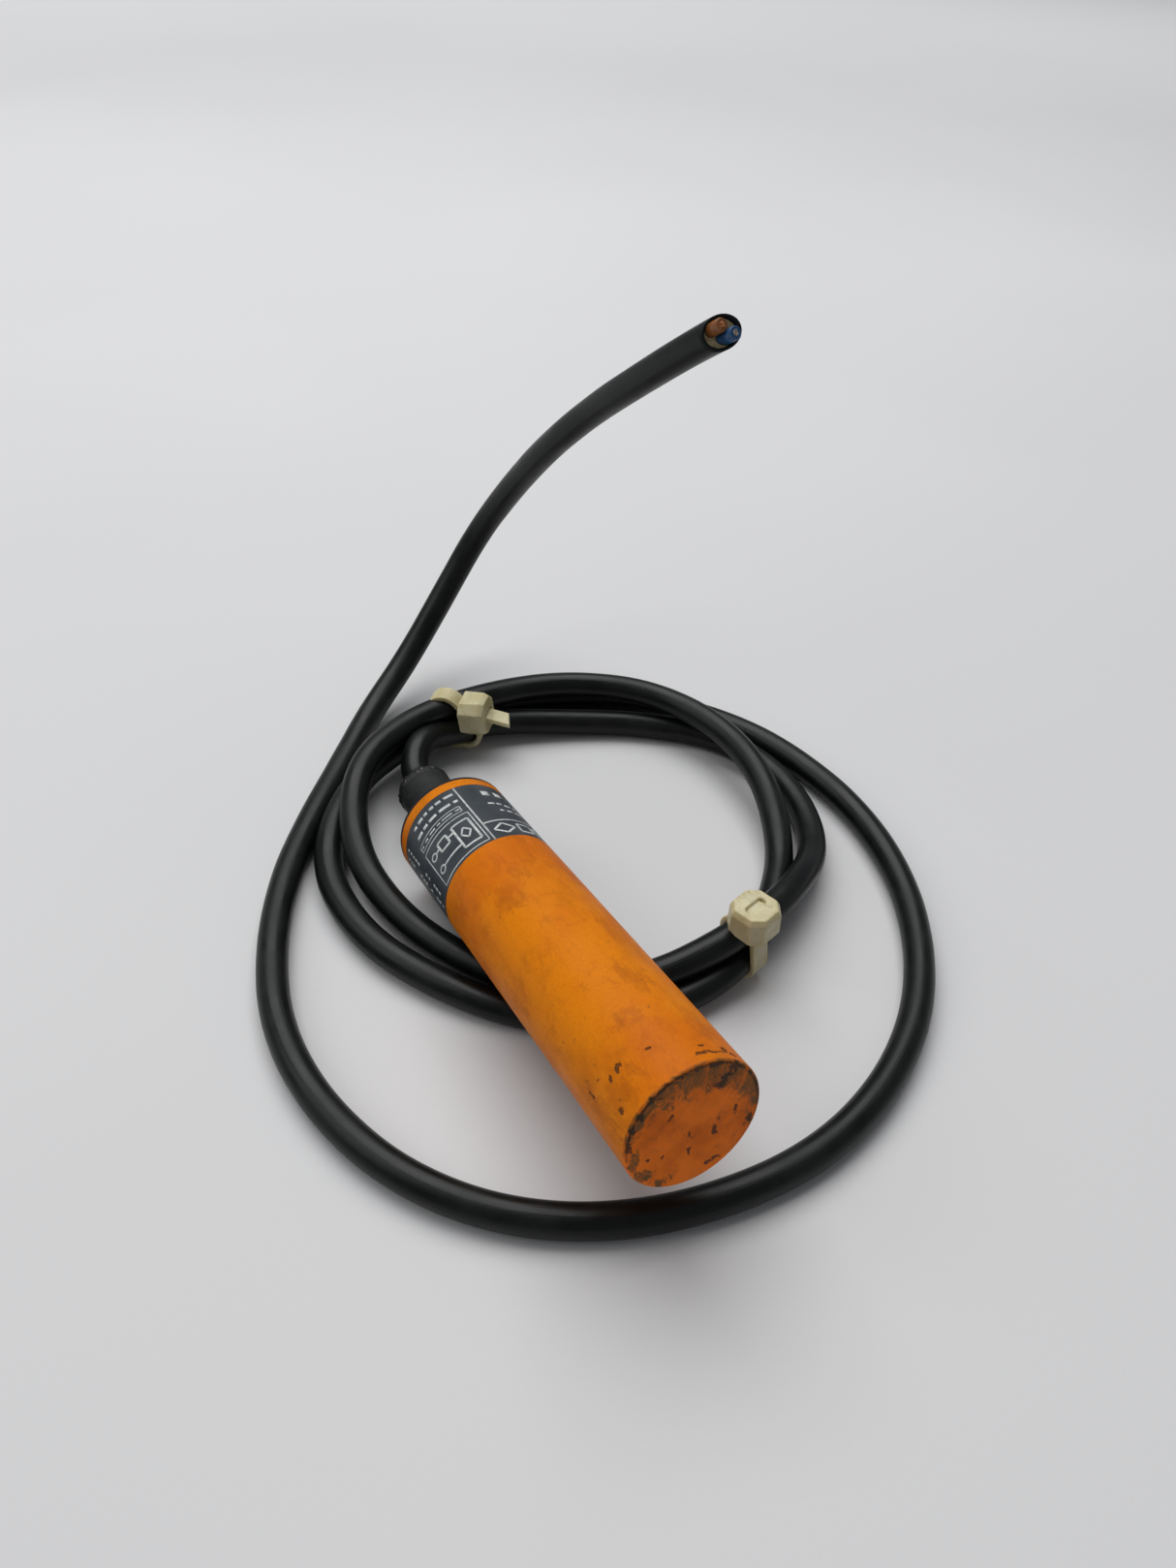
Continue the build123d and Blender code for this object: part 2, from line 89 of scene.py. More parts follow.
# The cable's route: out of the boot, 2.2 turns clockwise, one big loop on the surface, then the free end
# that stands up. Its points are the CAD model's, but for three under the rear tie and the last two.
EXIT_RUN = 0.003
LEAD_ROUTE = [
    (0.0009, 0.0529, 0.0072), (0.0037, 0.0570, 0.0082), (0.0076, 0.0597, 0.0072), (0.0119, 0.0610, 0.0052),
]
COIL_CENTRE = Vector((0.0215, 0.0260, 0))
COIL_START = radians(90)
COIL_STEP = radians(24)
COIL_TURNS = [
    (0.0362, 0.0042), (0.0342, 0.0029), (0.0370, 0.0026), (0.0428, 0.0026), (0.0446, 0.0026),
    (0.0440, 0.0034), (0.0402, 0.0085), (0.0386, 0.0096), (0.0372, 0.0056), (0.0358, 0.0029),
    (0.0346, 0.0027), (0.0362, 0.0030), (0.0399, 0.0052), (0.0422, 0.0098), (0.0410, 0.0094),
    (0.0390, 0.0090), (0.0398, 0.0086), (0.0411, 0.0080), (0.0396, 0.0080), (0.0378, 0.0074),
    (0.0374, 0.0032), (0.0374, 0.0036), (0.0407, 0.0041), (0.0414, 0.0027), (0.0414, 0.0026),
    (0.0408, 0.0026), (0.0434, 0.0026), (0.0456, 0.0029), (0.0438, 0.0046), (0.0414, 0.0039),
    (0.0415, 0.0042), (0.0426, 0.0028), (0.0452, 0.0026), (0.0476, 0.0026),
]
LOOP_ROUTE = [
    (0.0715, 0.0265, 0.0026), (0.0730, 0.0100, 0.0026), (0.0695, -0.0070, 0.0026),
    (0.0620, -0.0215, 0.0026), (0.0515, -0.0335, 0.0026), (0.0380, -0.0420, 0.0026),
    (0.0230, -0.0465, 0.0026), (0.0070, -0.0463, 0.0026), (-0.0085, -0.0425, 0.0026),
    (-0.0223, -0.0343, 0.0026), (-0.0325, -0.0219, 0.0026), (-0.0382, -0.0065, 0.0026),
    (-0.0393, 0.0093, 0.0026), (-0.0355, 0.0247, 0.0026), (-0.0287, 0.0392, 0.0026),
    (-0.0196, 0.0519, 0.0026), (-0.0093, 0.0643, 0.0026),
]
FREE_ROUTE = [
    (0.0006, 0.0760, 0.0034), (0.0120, 0.0840, 0.0082), (0.0230, 0.0895, 0.0180),
    (0.0315, 0.0905, 0.0300), (0.0360, 0.0830, 0.0430), (0.0380, 0.0720, 0.0555),
    (0.0410, 0.0610, 0.0665), (0.0425, 0.0490, 0.0760), (0.0444, 0.0380, 0.0847),
    (0.0455, 0.0325, 0.0887),
]

# Cable ties: angle round the coil, radius there, yaw of the strap's plane, where round the bundle the head
# sits, and the way that it faces (0 is outwards, 90 degrees is up).
REAR_TIE = (radians(102.6), 0.0385, radians(35), radians(140), radians(172))
SIDE_TIE = (radians(-73), 0.0385, radians(0), radians(78), radians(92))
STRAP_WIDTH = 0.0036
STRAP_THICK = 0.0011
HEAD_LENGTH = 0.0074
HEAD_WIDTH = 0.0074
HEAD_HEIGHT = 0.0050
TAIL_REACH = 0.0052
SLOT_LENGTH = 0.0015
SLOT_WIDTH = 0.0040
TAIL_LEAN = -0.24
TIE_VOXEL = 0.00014
# A turn belongs to a tie's bundle if it passes this near to the tie's centre.
BUNDLE_REACH = 0.012

# Camera.
CAMERA_PLACE = Vector((-0.05488, -0.10892, 0.15071))
CAMERA_HEADING = radians(30.1)
CAMERA_PITCH = radians(41.0)
CAMERA_ROLL = radians(3.0)
LENS = 27.04
SENSOR_WIDTH = 36.0

# Floor and light. A lamp: name, place, target, size, watts. The floor grows paler between two distances.
FLOOR_SIZE = 6.0
FLOOR_PALES = (0.70, 1.30)
LAMPS = [
    ("overhead", (0.14, 0.52, 1.1), (0.02, 0.06, 0), (1.2, 1.0), 14.7),
    ("window", (-0.9, 0.4, 0.9), (0, 0, 0), (0.8, 0.8), 3.5),
]
ROOM_COLOUR = (0.93, 0.95, 1.0, 1)
ROOM_LIGHT = 0.22

# Seed of every random draw.
DRAW_SEED = 20


# ---- geometry helpers

def link(obj):
    """Adds an object to the scene."""
    bpy.context.scene.collection.objects.link(obj)
    return obj


def mesh_object(name, bm):
    """Turns a bmesh into a smooth-shaded object at the origin."""
    bmesh.ops.recalc_face_normals(bm, faces=bm.faces)
    mesh = bpy.data.meshes.new(name)
    bm.to_mesh(mesh)
    bm.free()
    for face in mesh.polygons:
        face.use_smooth = True
    return link(bpy.data.objects.new(name, mesh))


def angles(count):
    """Evenly spaced angles round a circle."""
    return [2 * pi * index / count for index in range(count)]


def bridge(bm, first, second):
    """Faces between two rings of vertices: quads, or triangles where a ring is a single point."""
    count = len(first)
    faces = []
    for index in range(count):
        after = (index + 1) % count
        corners = (first[index], first[after], second[after], second[index])
        faces.append(bm.faces.new(list(dict.fromkeys(corners))))
    return faces


def loft(bm, rows, capped=True):
    """Skins a stack of rings and, if capped, closes both of its ends."""
    for first, second in zip(rows, rows[1:]):
        bridge(bm, first, second)
    if capped:
        bm.faces.new(rows[0][::-1])
        bm.faces.new(rows[-1])


def bake_modifiers(obj):
    """Replaces an object's mesh by the result of its modifiers."""
    graph = bpy.context.evaluated_depsgraph_get()
    mesh = bpy.data.meshes.new_from_object(obj.evaluated_get(graph))
    old = obj.data
    obj.modifiers.clear()
    obj.data = mesh
    bpy.data.meshes.remove(old)


def on_barrel(angle, distance, radius):
    """Place at an angle round the barrel, a distance from its face and a radius from its axis."""
    return FACE + AXIS * distance + (SIDE * cos(angle) + UP * sin(angle)) * radius


# ---- camera

def make_camera():
    data = bpy.data.cameras.new("camera")
    data.lens = LENS
    data.sensor_width = SENSOR_WIDTH
    data.clip_start = 0.005
    camera = link(bpy.data.objects.new("camera", data))
    turn = Matrix.Rotation(-CAMERA_HEADING, 4, "Z")
    turn = turn @ Matrix.Rotation(pi / 2 - CAMERA_PITCH, 4, "X")
    turn = turn @ Matrix.Rotation(CAMERA_ROLL, 4, "Z")
    camera.matrix_world = Matrix.Translation(CAMERA_PLACE) @ turn
    bpy.context.scene.camera = camera


# ---- the cable's line

def cable_points():
    """Control points of the whole route, from the boot to the cut end."""
    exit_point = FACE + AXIS * BOOT_END
    points = [exit_point, exit_point + AXIS * EXIT_RUN]
    points += [Vector(point) for point in LEAD_ROUTE]
    for index, (radius, height) in enumerate(COIL_TURNS):
        angle = COIL_START - COIL_STEP * index
        points.append(COIL_CENTRE + Vector((radius * cos(angle), radius * sin(angle), height)))
    points += [Vector(point) for point in LOOP_ROUTE + FREE_ROUTE]
    return points


def nurbs_line(points):
    """Points along the smooth line that has these control points."""
    curve = bpy.data.curves.new("line", "CURVE")
    curve.dimensions = "3D"
    curve.resolution_u = 16
    spline = curve.splines.new("NURBS")
    spline.points.add(len(points) - 1)
    for target, point in zip(spline.points, points):
        target.co = (*point, 1)
    spline.order_u = 3
    spline.use_endpoint_u = True
    holder = link(bpy.data.objects.new("line", curve))
    mesh = bpy.data.meshes.new_from_object(holder)
    line = [vertex.co.copy() for vertex in mesh.vertices]
    bpy.data.objects.remove(holder)
    bpy.data.meshes.remove(mesh)
    return line


def frames_along(line):
    """(point, tangent, normal, binormal, distance) along a line, with no twist."""
    frames = []
    normal = Vector((0, 0, 1))
    distance = 0.0
    for index, point in enumerate(line):
        before = line[max(index - 1, 0)]
        after = line[min(index + 1, len(line) - 1)]
        tangent = (after - before).normalized()
        normal = (normal - tangent * normal.dot(tangent)).normalized()
        distance += (point - before).length
        frames.append((point, tangent, normal, tangent.cross(normal), distance))
    return frames


# ---- the cable

def make_cable(line, end):
    """The jacket: a tube along the line, cut obliquely and open at its far end."""
    tip, direction, across, _ = end
    cut = across * sin(END_TURN) + direction * cos(END_TURN)
    frames = frames_along(line)
    total = frames[-1][4]
    bm = bmesh.new()
    layer = bm.loops.layers.uv.new("UVMap")
    rings = []
    marks = []
    for point, tangent, normal, binormal, distance in frames:
        wave = sin(distance * WAVE_RATES[0]) * sin(distance * WAVE_RATES[1] + 1)
        radius = CABLE_R * (1 + CABLE_WAVE * wave)
        left = max(0.0, 1 - (total - distance) / END_BLEND)
        rings.append(ring_at(bm, point, (normal, binormal), radius, cut, direction, left))
        marks.append(distance)
    last = frames[-1][2:4]
    for inset, depth in JACKET_LIP:
        place = tip + direction * depth
        rings.append(ring_at(bm, place, last, CABLE_R - inset, cut, direction, 1.0))
        marks.append(total)
    for index, (first, second) in enumerate(zip(rings, rings[1:])):
        strip_with_uv(bm, layer, first, second, marks[index], marks[index + 1])
    bm.faces.new(rings[0][::-1])
    bm.faces.new(rings[-1])
    return mesh_object("cable_jacket_tube", bm)


def ring_at(bm, centre, sides, radius, cut, direction, share):
    """Ring of vertices, slid along the cable by a share of what brings it onto the cut plane."""
    ring = []
    for angle in angles(CABLE_SIDES):
        offset = (sides[0] * cos(angle) + sides[1] * sin(angle)) * radius
        slide = -offset.dot(cut) / direction.dot(cut) * share
        ring.append(bm.verts.new(centre + offset + direction * slide))
    return ring


def strip_with_uv(bm, layer, first, second, start, stop):
    """Bridges two rings of the jacket, with UVs round it and along it."""
    for index, face in enumerate(bridge(bm, first, second)):
        u0 = index / CABLE_SIDES
        u1 = (index + 1) / CABLE_SIDES
        for loop, uv in zip(face.loops, ((u0, start), (u1, start), (u1, stop), (u0, stop))):
            loop[layer].uv = uv


def make_rod(name, end, x, y, stop):
    """Round core along the cable's end, with a softened and dished cut."""
    tip, direction, across, over = end
    bm = bmesh.new()
    soft = CORE_R * 0.12
    outline = [
        (0, CORE_DEPTH), (CORE_R, CORE_DEPTH), (CORE_R, stop - soft),
        (CORE_R - soft * 0.3, stop - soft * 0.3), (CORE_R - soft, stop),
        (CORE_R * 0.6, stop - CORE_DISH * 0.6), (0, stop - CORE_DISH),
    ]
    rows = []
    for reach, depth in outline:
        centre = tip + direction * depth + across * x + over * y
        if reach == 0:
            rows.append([bm.verts.new(centre)] * CORE_SIDES)
            continue
        row = []
        for angle in angles(CORE_SIDES):
            ripple = 1 + 0.02 * sin(3 * angle + x * 9000)
            row.append(bm.verts.new(centre + (across * cos(angle) + over * sin(angle)) * reach * ripple))
        rows.append(row)
    loft(bm, rows, capped=False)
    return mesh_object(name, bm)


def make_strands(name, end, x, y, stop):
    """Nineteen copper wires, laid in two rings round one, cut unevenly."""
    tip, direction, across, over = end
    bm = bmesh.new()
    places = [(0.0, 0.0)]
    for count, reach in WIRE_RINGS:
        for angle in angles(count):
            places.append((reach * cos(angle + reach), reach * sin(angle + reach)))
    for a, b in places:
        centre = tip + across * (x + a * WIRE_R) + over * (y + b * WIRE_R)
        length = stop + random.uniform(-0.00025, 0.0001)
        rows = []
        for radius, depth in ((WIRE_R, -0.0020), (WIRE_R, length - WIRE_R * 0.3), (WIRE_R * 0.7, length)):
            row = []
            for angle in angles(10):
                spot = centre + direction * depth
                row.append(bm.verts.new(spot + (across * cos(angle) + over * sin(angle)) * radius))
            rows.append(row)
        loft(bm, rows)
    return mesh_object(name, bm)


def make_filling(end):
    """Fibrous filler round the two cores, a little below the cut."""
    tip, direction, across, over = end
    cut = across * sin(END_TURN) + direction * cos(END_TURN)
    bm = bmesh.new()
    rows = []
    for share, depth in ((0.97, -0.0021), (0.99, -0.0005), (0.9, -0.0005), (0.6, -0.0008), (0.3, -0.0010)):
        radius = FILLER_R * share
        row = []
        for angle in angles(48):
            offset = (across * cos(angle) + over * sin(angle)) * radius
            slide = -offset.dot(cut) / direction.dot(cut)
            fibre = random.uniform(-0.00012, 0.00006) if depth > -0.001 else 0.0
            row.append(bm.verts.new(tip + offset + direction * (slide + depth + fibre)))
        rows.append(row)
    loft(bm, rows)
    return mesh_object("end_filling", bm)


# ---- cable ties

def hull(points):
    """Convex outline of points in a plane, anticlockwise."""
    def half(sequence):
        chain = []
        for point in sequence:
            while len(chain) > 1 and turning(chain[-2], chain[-1], point) <= 0:
                chain.pop()
            chain.append(point)
        return chain[:-1]
    ordered = sorted(set(points))
    return half(ordered) + half(ordered[::-1])


def turning(a, b, c):
    """Above 0 where the way from a by b to c turns left."""
    return (b[0] - a[0]) * (c[1] - a[1]) - (b[1] - a[1]) * (c[0] - a[0])


def spread_evenly(loop, count):
    """The same closed outline with evenly spaced points."""
    closed = [Vector(point) for point in loop] + [Vector(loop[0])]
    travel = [0.0]
    for first, second in zip(closed, closed[1:]):
        travel.append(travel[-1] + (second - first).length)
    even = []
    piece = 0
    for index in range(count):
        goal = travel[-1] * index / count
        while travel[piece + 1] < goal:
            piece += 1
        share = (goal - travel[piece]) / (travel[piece + 1] - travel[piece])
        even.append(closed[piece].lerp(closed[piece + 1], share))
    return even


def strands_through(line, centre, outwards, along):
    """Where the turns pass through a tie's plane, as (distance outwards, height)."""
    found = []
    for first, second in zip(line, line[1:]):
        before = (first - centre).dot(along)
        after = (second - centre).dot(along)
        if before * after > 0 or before == after:
            continue
        point = first.lerp(second, before / (before - after))
        reach = (point - centre).dot(outwards)
        if abs(reach) < BUNDLE_REACH:
            found.append((reach, point.z))
    return found


def make_tie(name, line, tie, tail):
    """Strap pulled tight round the turns, with its head, and its end cut flush or left as a tail."""
    angle, radius, yaw, seated, facing = tie
    turn = Matrix.Rotation(yaw, 3, "Z")
    outwards = turn @ Vector((cos(angle), sin(angle), 0))
    along = turn @ Vector((sin(angle), -cos(angle), 0))
    centre = COIL_CENTRE + Vector((cos(angle), sin(angle), 0)) * radius
    strands = strands_through(line, centre, outwards, along)
    gap = CABLE_R + STRAP_THICK / 2
    cloud = [
        (x + gap * cos(turn), z + gap * sin(turn))
        for x, z in strands for turn in angles(32)
    ]
    loop = spread_evenly(hull(cloud), 96)
    bm = bmesh.new()
    add_strap(bm, loop, centre, outwards, along)
    middle = sum(loop, Vector((0, 0))) / len(loop)
    towards = Vector((cos(seated), sin(seated)))
    seat = max(loop, key=lambda point: (point - middle).normalized().dot(towards))
    way = Vector((cos(facing), sin(facing)))
    normal = outwards * way.x + Vector((0, 0, way.y))
    tangent = normal.cross(along)
    base = centre + outwards * seat.x + Vector((0, 0, seat.y)) - normal * STRAP_THICK * 0.75
    add_head(bm, base, tangent, along, normal)
    add_tail(bm, base, tangent, along, normal, tail)
    obj = mesh_object(name, bm)
    remesh = obj.modifiers.new("moulded", "REMESH")
    remesh.mode = "VOXEL"
    remesh.voxel_size = TIE_VOXEL
    remesh.use_smooth_shade = True
    smooth = obj.modifiers.new("soft", "SMOOTH")
    smooth.factor = 0.5
    smooth.iterations = 5
    bake_modifiers(obj)
    return obj


def add_strap(bm, loop, centre, outwards, along):
    """Sweeps the strap's section, with its raised edges, round the bundle."""
    half = STRAP_WIDTH / 2
    thick = STRAP_THICK / 2
    section = [
        (-half, -thick * 0.7), (-half * 0.9, -thick), (half * 0.9, -thick), (half, -thick * 0.7),
        (half, thick * 0.7), (half * 0.9, thick), (half * 0.7, thick * 0.8), (-half * 0.7, thick * 0.8),
        (-half * 0.9, thick), (-half, thick * 0.7),
    ]
    count = len(loop)
    rings = []
    for index, point in enumerate(loop):
        tangent = (loop[(index + 1) % count] - loop[index - 1]).normalized()
        normal = Vector((tangent.y, -tangent.x))
        ring = []
        for across, lift in section:
            place = point + normal * lift
            ring.append(bm.verts.new(centre + outwards * place.x + Vector((0, 0, place.y)) + along * across))
        rings.append(ring)
    for index in range(count):
        bridge(bm, rings[index], rings[(index + 1) % count])


def add_prism(bm, base, tangent, along, normal, levels):
    """Skins a stack of outlines, each a height and its (tangent, along) points, and returns its rows."""
    rows = []
    for height, outline in levels:
        rows.append([bm.verts.new(base + tangent * s + along * w + normal * height) for s, w in outline])
    loft(bm, rows, capped=False)
    return rows


def octagon(length, width, corner):
    """Rectangle with cut corners, anticlockwise."""
    a = length / 2
    b = width / 2
    return [
        (a, b - corner), (a - corner, b), (corner - a, b), (-a, b - corner),
        (-a, corner - b), (corner - a, -b), (a - corner, -b), (a, corner - b),
    ]


def add_head(bm, base, tangent, along, normal):
    """Ratchet head: eight-sided block with draft, and a slot through it for the strap."""
    foot = octagon(HEAD_LENGTH, HEAD_WIDTH, 0.0016)
    brow = octagon(HEAD_LENGTH, HEAD_WIDTH, 0.0018)
    crown = octagon(HEAD_LENGTH * 0.88, HEAD_WIDTH * 0.86, 0.0016)
    mouth = octagon(SLOT_LENGTH, SLOT_WIDTH, 0.0003)
    levels = [
        (0.0, foot), (HEAD_HEIGHT * 0.8, brow), (HEAD_HEIGHT, crown), (HEAD_HEIGHT, mouth), (0.0, mouth),
    ]
    rows = add_prism(bm, base, tangent, along, normal, levels)
    bridge(bm, rows[-1], rows[0])


def add_tail(bm, base, tangent, along, normal, reach):
    """The strap's end: up through the slot, then cut off askew."""
    end = octagon(STRAP_THICK, STRAP_WIDTH * 0.96, 0.0002)
    start = -0.0002
    lean = TAIL_LEAN if reach > 0 else 0.0
    rows = []
    for share in (0.0, 0.45, 0.7, 0.85, 1.0):
        row = []
        for s, w in end:
            height = start + (HEAD_HEIGHT - 0.0005 + reach - start) * share
            height -= share * (w / STRAP_WIDTH + 0.5) * reach * 0.22
            drop = lean * max(0.0, height - HEAD_HEIGHT * 0.8)
            row.append(bm.verts.new(base + tangent * (s + drop) + along * w + normal * height))
        rows.append(row)
    loft(bm, rows)


# ---- strain relief

def ramp(value, low, high):
    """0 below low, 1 above high, straight between them."""
    return max(0.0, min(1.0, (value - low) / (high - low)))


def make_boot():
    """Rubber sleeve with moulding steps and a ragged crimped rim where the cable leaves it."""
    bm = bmesh.new()
    shove = [random.uniform(-1, 1) for index in range(BOOT_SIDES)]
    profile = [
        (BOOT_START, 0.0026), (BOOT_START, 0.00475), (0.0772, 0.00487), (0.0790, 0.00493), (0.0815, 0.00498),
        (0.0840, 0.0050), (0.0865, 0.00498), (0.0885, 0.00492), (0.0897, 0.00484), (0.0901, 0.00476),
        (0.0904, 0.00478), (0.0907, 0.00496), (0.0911, 0.00504), (0.0915, 0.00502), (0.0918, 0.00490),
        (0.0919, 0.00455), (0.0918, 0.0040), (0.0914, 0.0034), (0.0908, 0.0029), (0.0900, 0.00262),
    ]
    rows = []
    for distance, radius in profile:
        rough = ramp(distance, 0.0899, 0.0907) * ramp(radius, 0.0030, 0.0042)
        row = []
        for index, angle in enumerate(angles(BOOT_SIDES)):
            notch = 0.5 + 0.5 * cos(angle * RIM_NOTCHES)
            near = (shove[index] + shove[index - 1]) / 2
            push = rough * (0.00007 * near - 0.00010 * notch ** 4)
            slide = rough * (0.00012 * near - 0.00008 * notch ** 4)
            row.append(bm.verts.new(on_barrel(angle, distance + slide, radius + push)))
        rows.append(row)
    loft(bm, rows, capped=False)
    bridge(bm, rows[-1], rows[0])
    return mesh_object("boot_sleeve", bm)


# ---- print on the label

def add_stroke(bm, start, stop, width):
    """Thin raised line of ink between two (arc, distance) places on the label, in millimetres."""
    first = Vector(start)
    last = Vector(stop)
    run = last - first
    side = Vector((-run.y, run.x)).normalized() * width / 2
    steps = max(1, int(abs(run.x) / 0.35))
    rows = []
    for index in range(steps + 1):
        middle = first + run * (index / steps)
        row = []
        for place, radius in ((middle + side, INK_LOW), (middle + side, INK_TOP),
                              (middle - side, INK_TOP), (middle - side, INK_LOW)):
            row.append(bm.verts.new(on_barrel(place.x / 1000 / BARREL_R, place.y / 1000, radius)))
        rows.append(row)
    loft(bm, rows)


def add_path(bm, points, width):
    for start, stop in zip(points, points[1:]):
        add_stroke(bm, start, stop, width)


def add_row(bm, left, right, distance, width):
    """Row of plain dashes of mixed length between two angles, in place of a line of print."""
    arc = arc_at(left)
    stop = arc_at(right)
    while arc < stop - 0.4:
        end = min(arc + random.uniform(0.6, 2.4), stop)
        add_stroke(bm, (arc, distance), (end, distance), width)
        arc = end + random.uniform(0.35, 0.60)


def arc_at(angle):
    """Arc length in millimetres from SIDE to an angle in degrees."""
    return radians(angle) * BARREL_R * 1000


def add_box(bm, left, right, low, top, width):
    """Empty box between two angles and two distances."""
    a = arc_at(left)
    b = arc_at(right)
    add_path(bm, [(a, low), (b, low), (b, top), (a, top), (a, low)], width)


def add_dash(bm, left, right, distance, width):
    """Straight line across the label between two angles."""
    add_stroke(bm, (arc_at(left), distance), (arc_at(right), distance), width)


def make_label_print():
    """Generic marks: dividing lines, rows of dashes, a two-wire diagram and plain shapes."""
    bm = bmesh.new()
    divider = arc_at(93)
    add_stroke(bm, (divider, 56.6), (divider, 74.0), LINE)
    add_path(bm, [(divider, 61.6), (arc_at(20), 61.6), (arc_at(-140), 61.6)], LINE)
    # Right field: a diamond and two empty boxes, two solid blocks, then three short rows.
    add_diamond(bm, arc_at(77), 59.1, 1.8, 1.5, BOLD)
    for left, right in ((48, 62), (34, 43)):
        add_box(bm, left, right, 57.9, 60.3, BOLD)
    for left, right in ((49, 57), (63, 71)):
        add_dash(bm, left, right, 70.9, 1.5)
    for left, right, distance in ((58, 73, 67.3), (42, 56, 67.0), (40, 66, 65.0)):
        add_row(bm, left, right, distance, 0.5)
    # Left field: two rows, a strip of fine dashes and the wiring diagram in its frame.
    for distance in (72.4, 70.2):
        add_row(bm, 97, 152, distance, 0.7)
    add_box(bm, 100, 156, 67.1, 68.6, 0.17)
    add_row(bm, 101, 155, 67.85, 0.32)
    add_diagram(bm, BOLD)
    add_box(bm, 97, 157, 57.2, 66.2, FINE)
    # Rows that run along the barrel on its far left.
    for angle in (172, 182):
        for index in range(14):
            low = 57.6 + index * 1.15
            if random.random() < 0.85:
                add_stroke(bm, (arc_at(angle), low), (arc_at(angle), low + random.uniform(0.4, 0.9)), 0.5)
    # Back: a frame with rows.
    add_box(bm, 205, 300, 63.4, 72.6, FINE)
    for distance in (71.0, 69.0, 67.0, 65.0):
        add_row(bm, 210, random.uniform(250, 295), distance, 0.45)
    return mesh_object("label_print", bm)


def add_diagram(bm, width):
    """Two-wire diagram: a sensor box, a load in one wire, and two round terminals."""
    add_box(bm, 101, 119, 58.6, 64.8, width)
    add_diamond(bm, arc_at(110), 61.7, 0.9, 1.4, width * 0.8)
    add_box(bm, 127, 139, 62.4, 64.6, width)
    for left, right, distance in ((119, 127, 63.5), (139, 145, 63.5), (119, 145, 59.9)):
        add_dash(bm, left, right, distance, width)
    for distance in (63.5, 59.9):
        ring = [(arc_at(149) + 0.7 * cos(turn), distance + 0.7 * sin(turn)) for turn in angles(12)]
        add_path(bm, ring + ring[:1], width * 0.8)


def add_diamond(bm, arc, distance, across, high, width):
    corners = [(arc - across, distance), (arc, distance + high), (arc + across, distance),
               (arc, distance - high), (arc - across, distance)]
    add_path(bm, corners, width)


# ---- materials

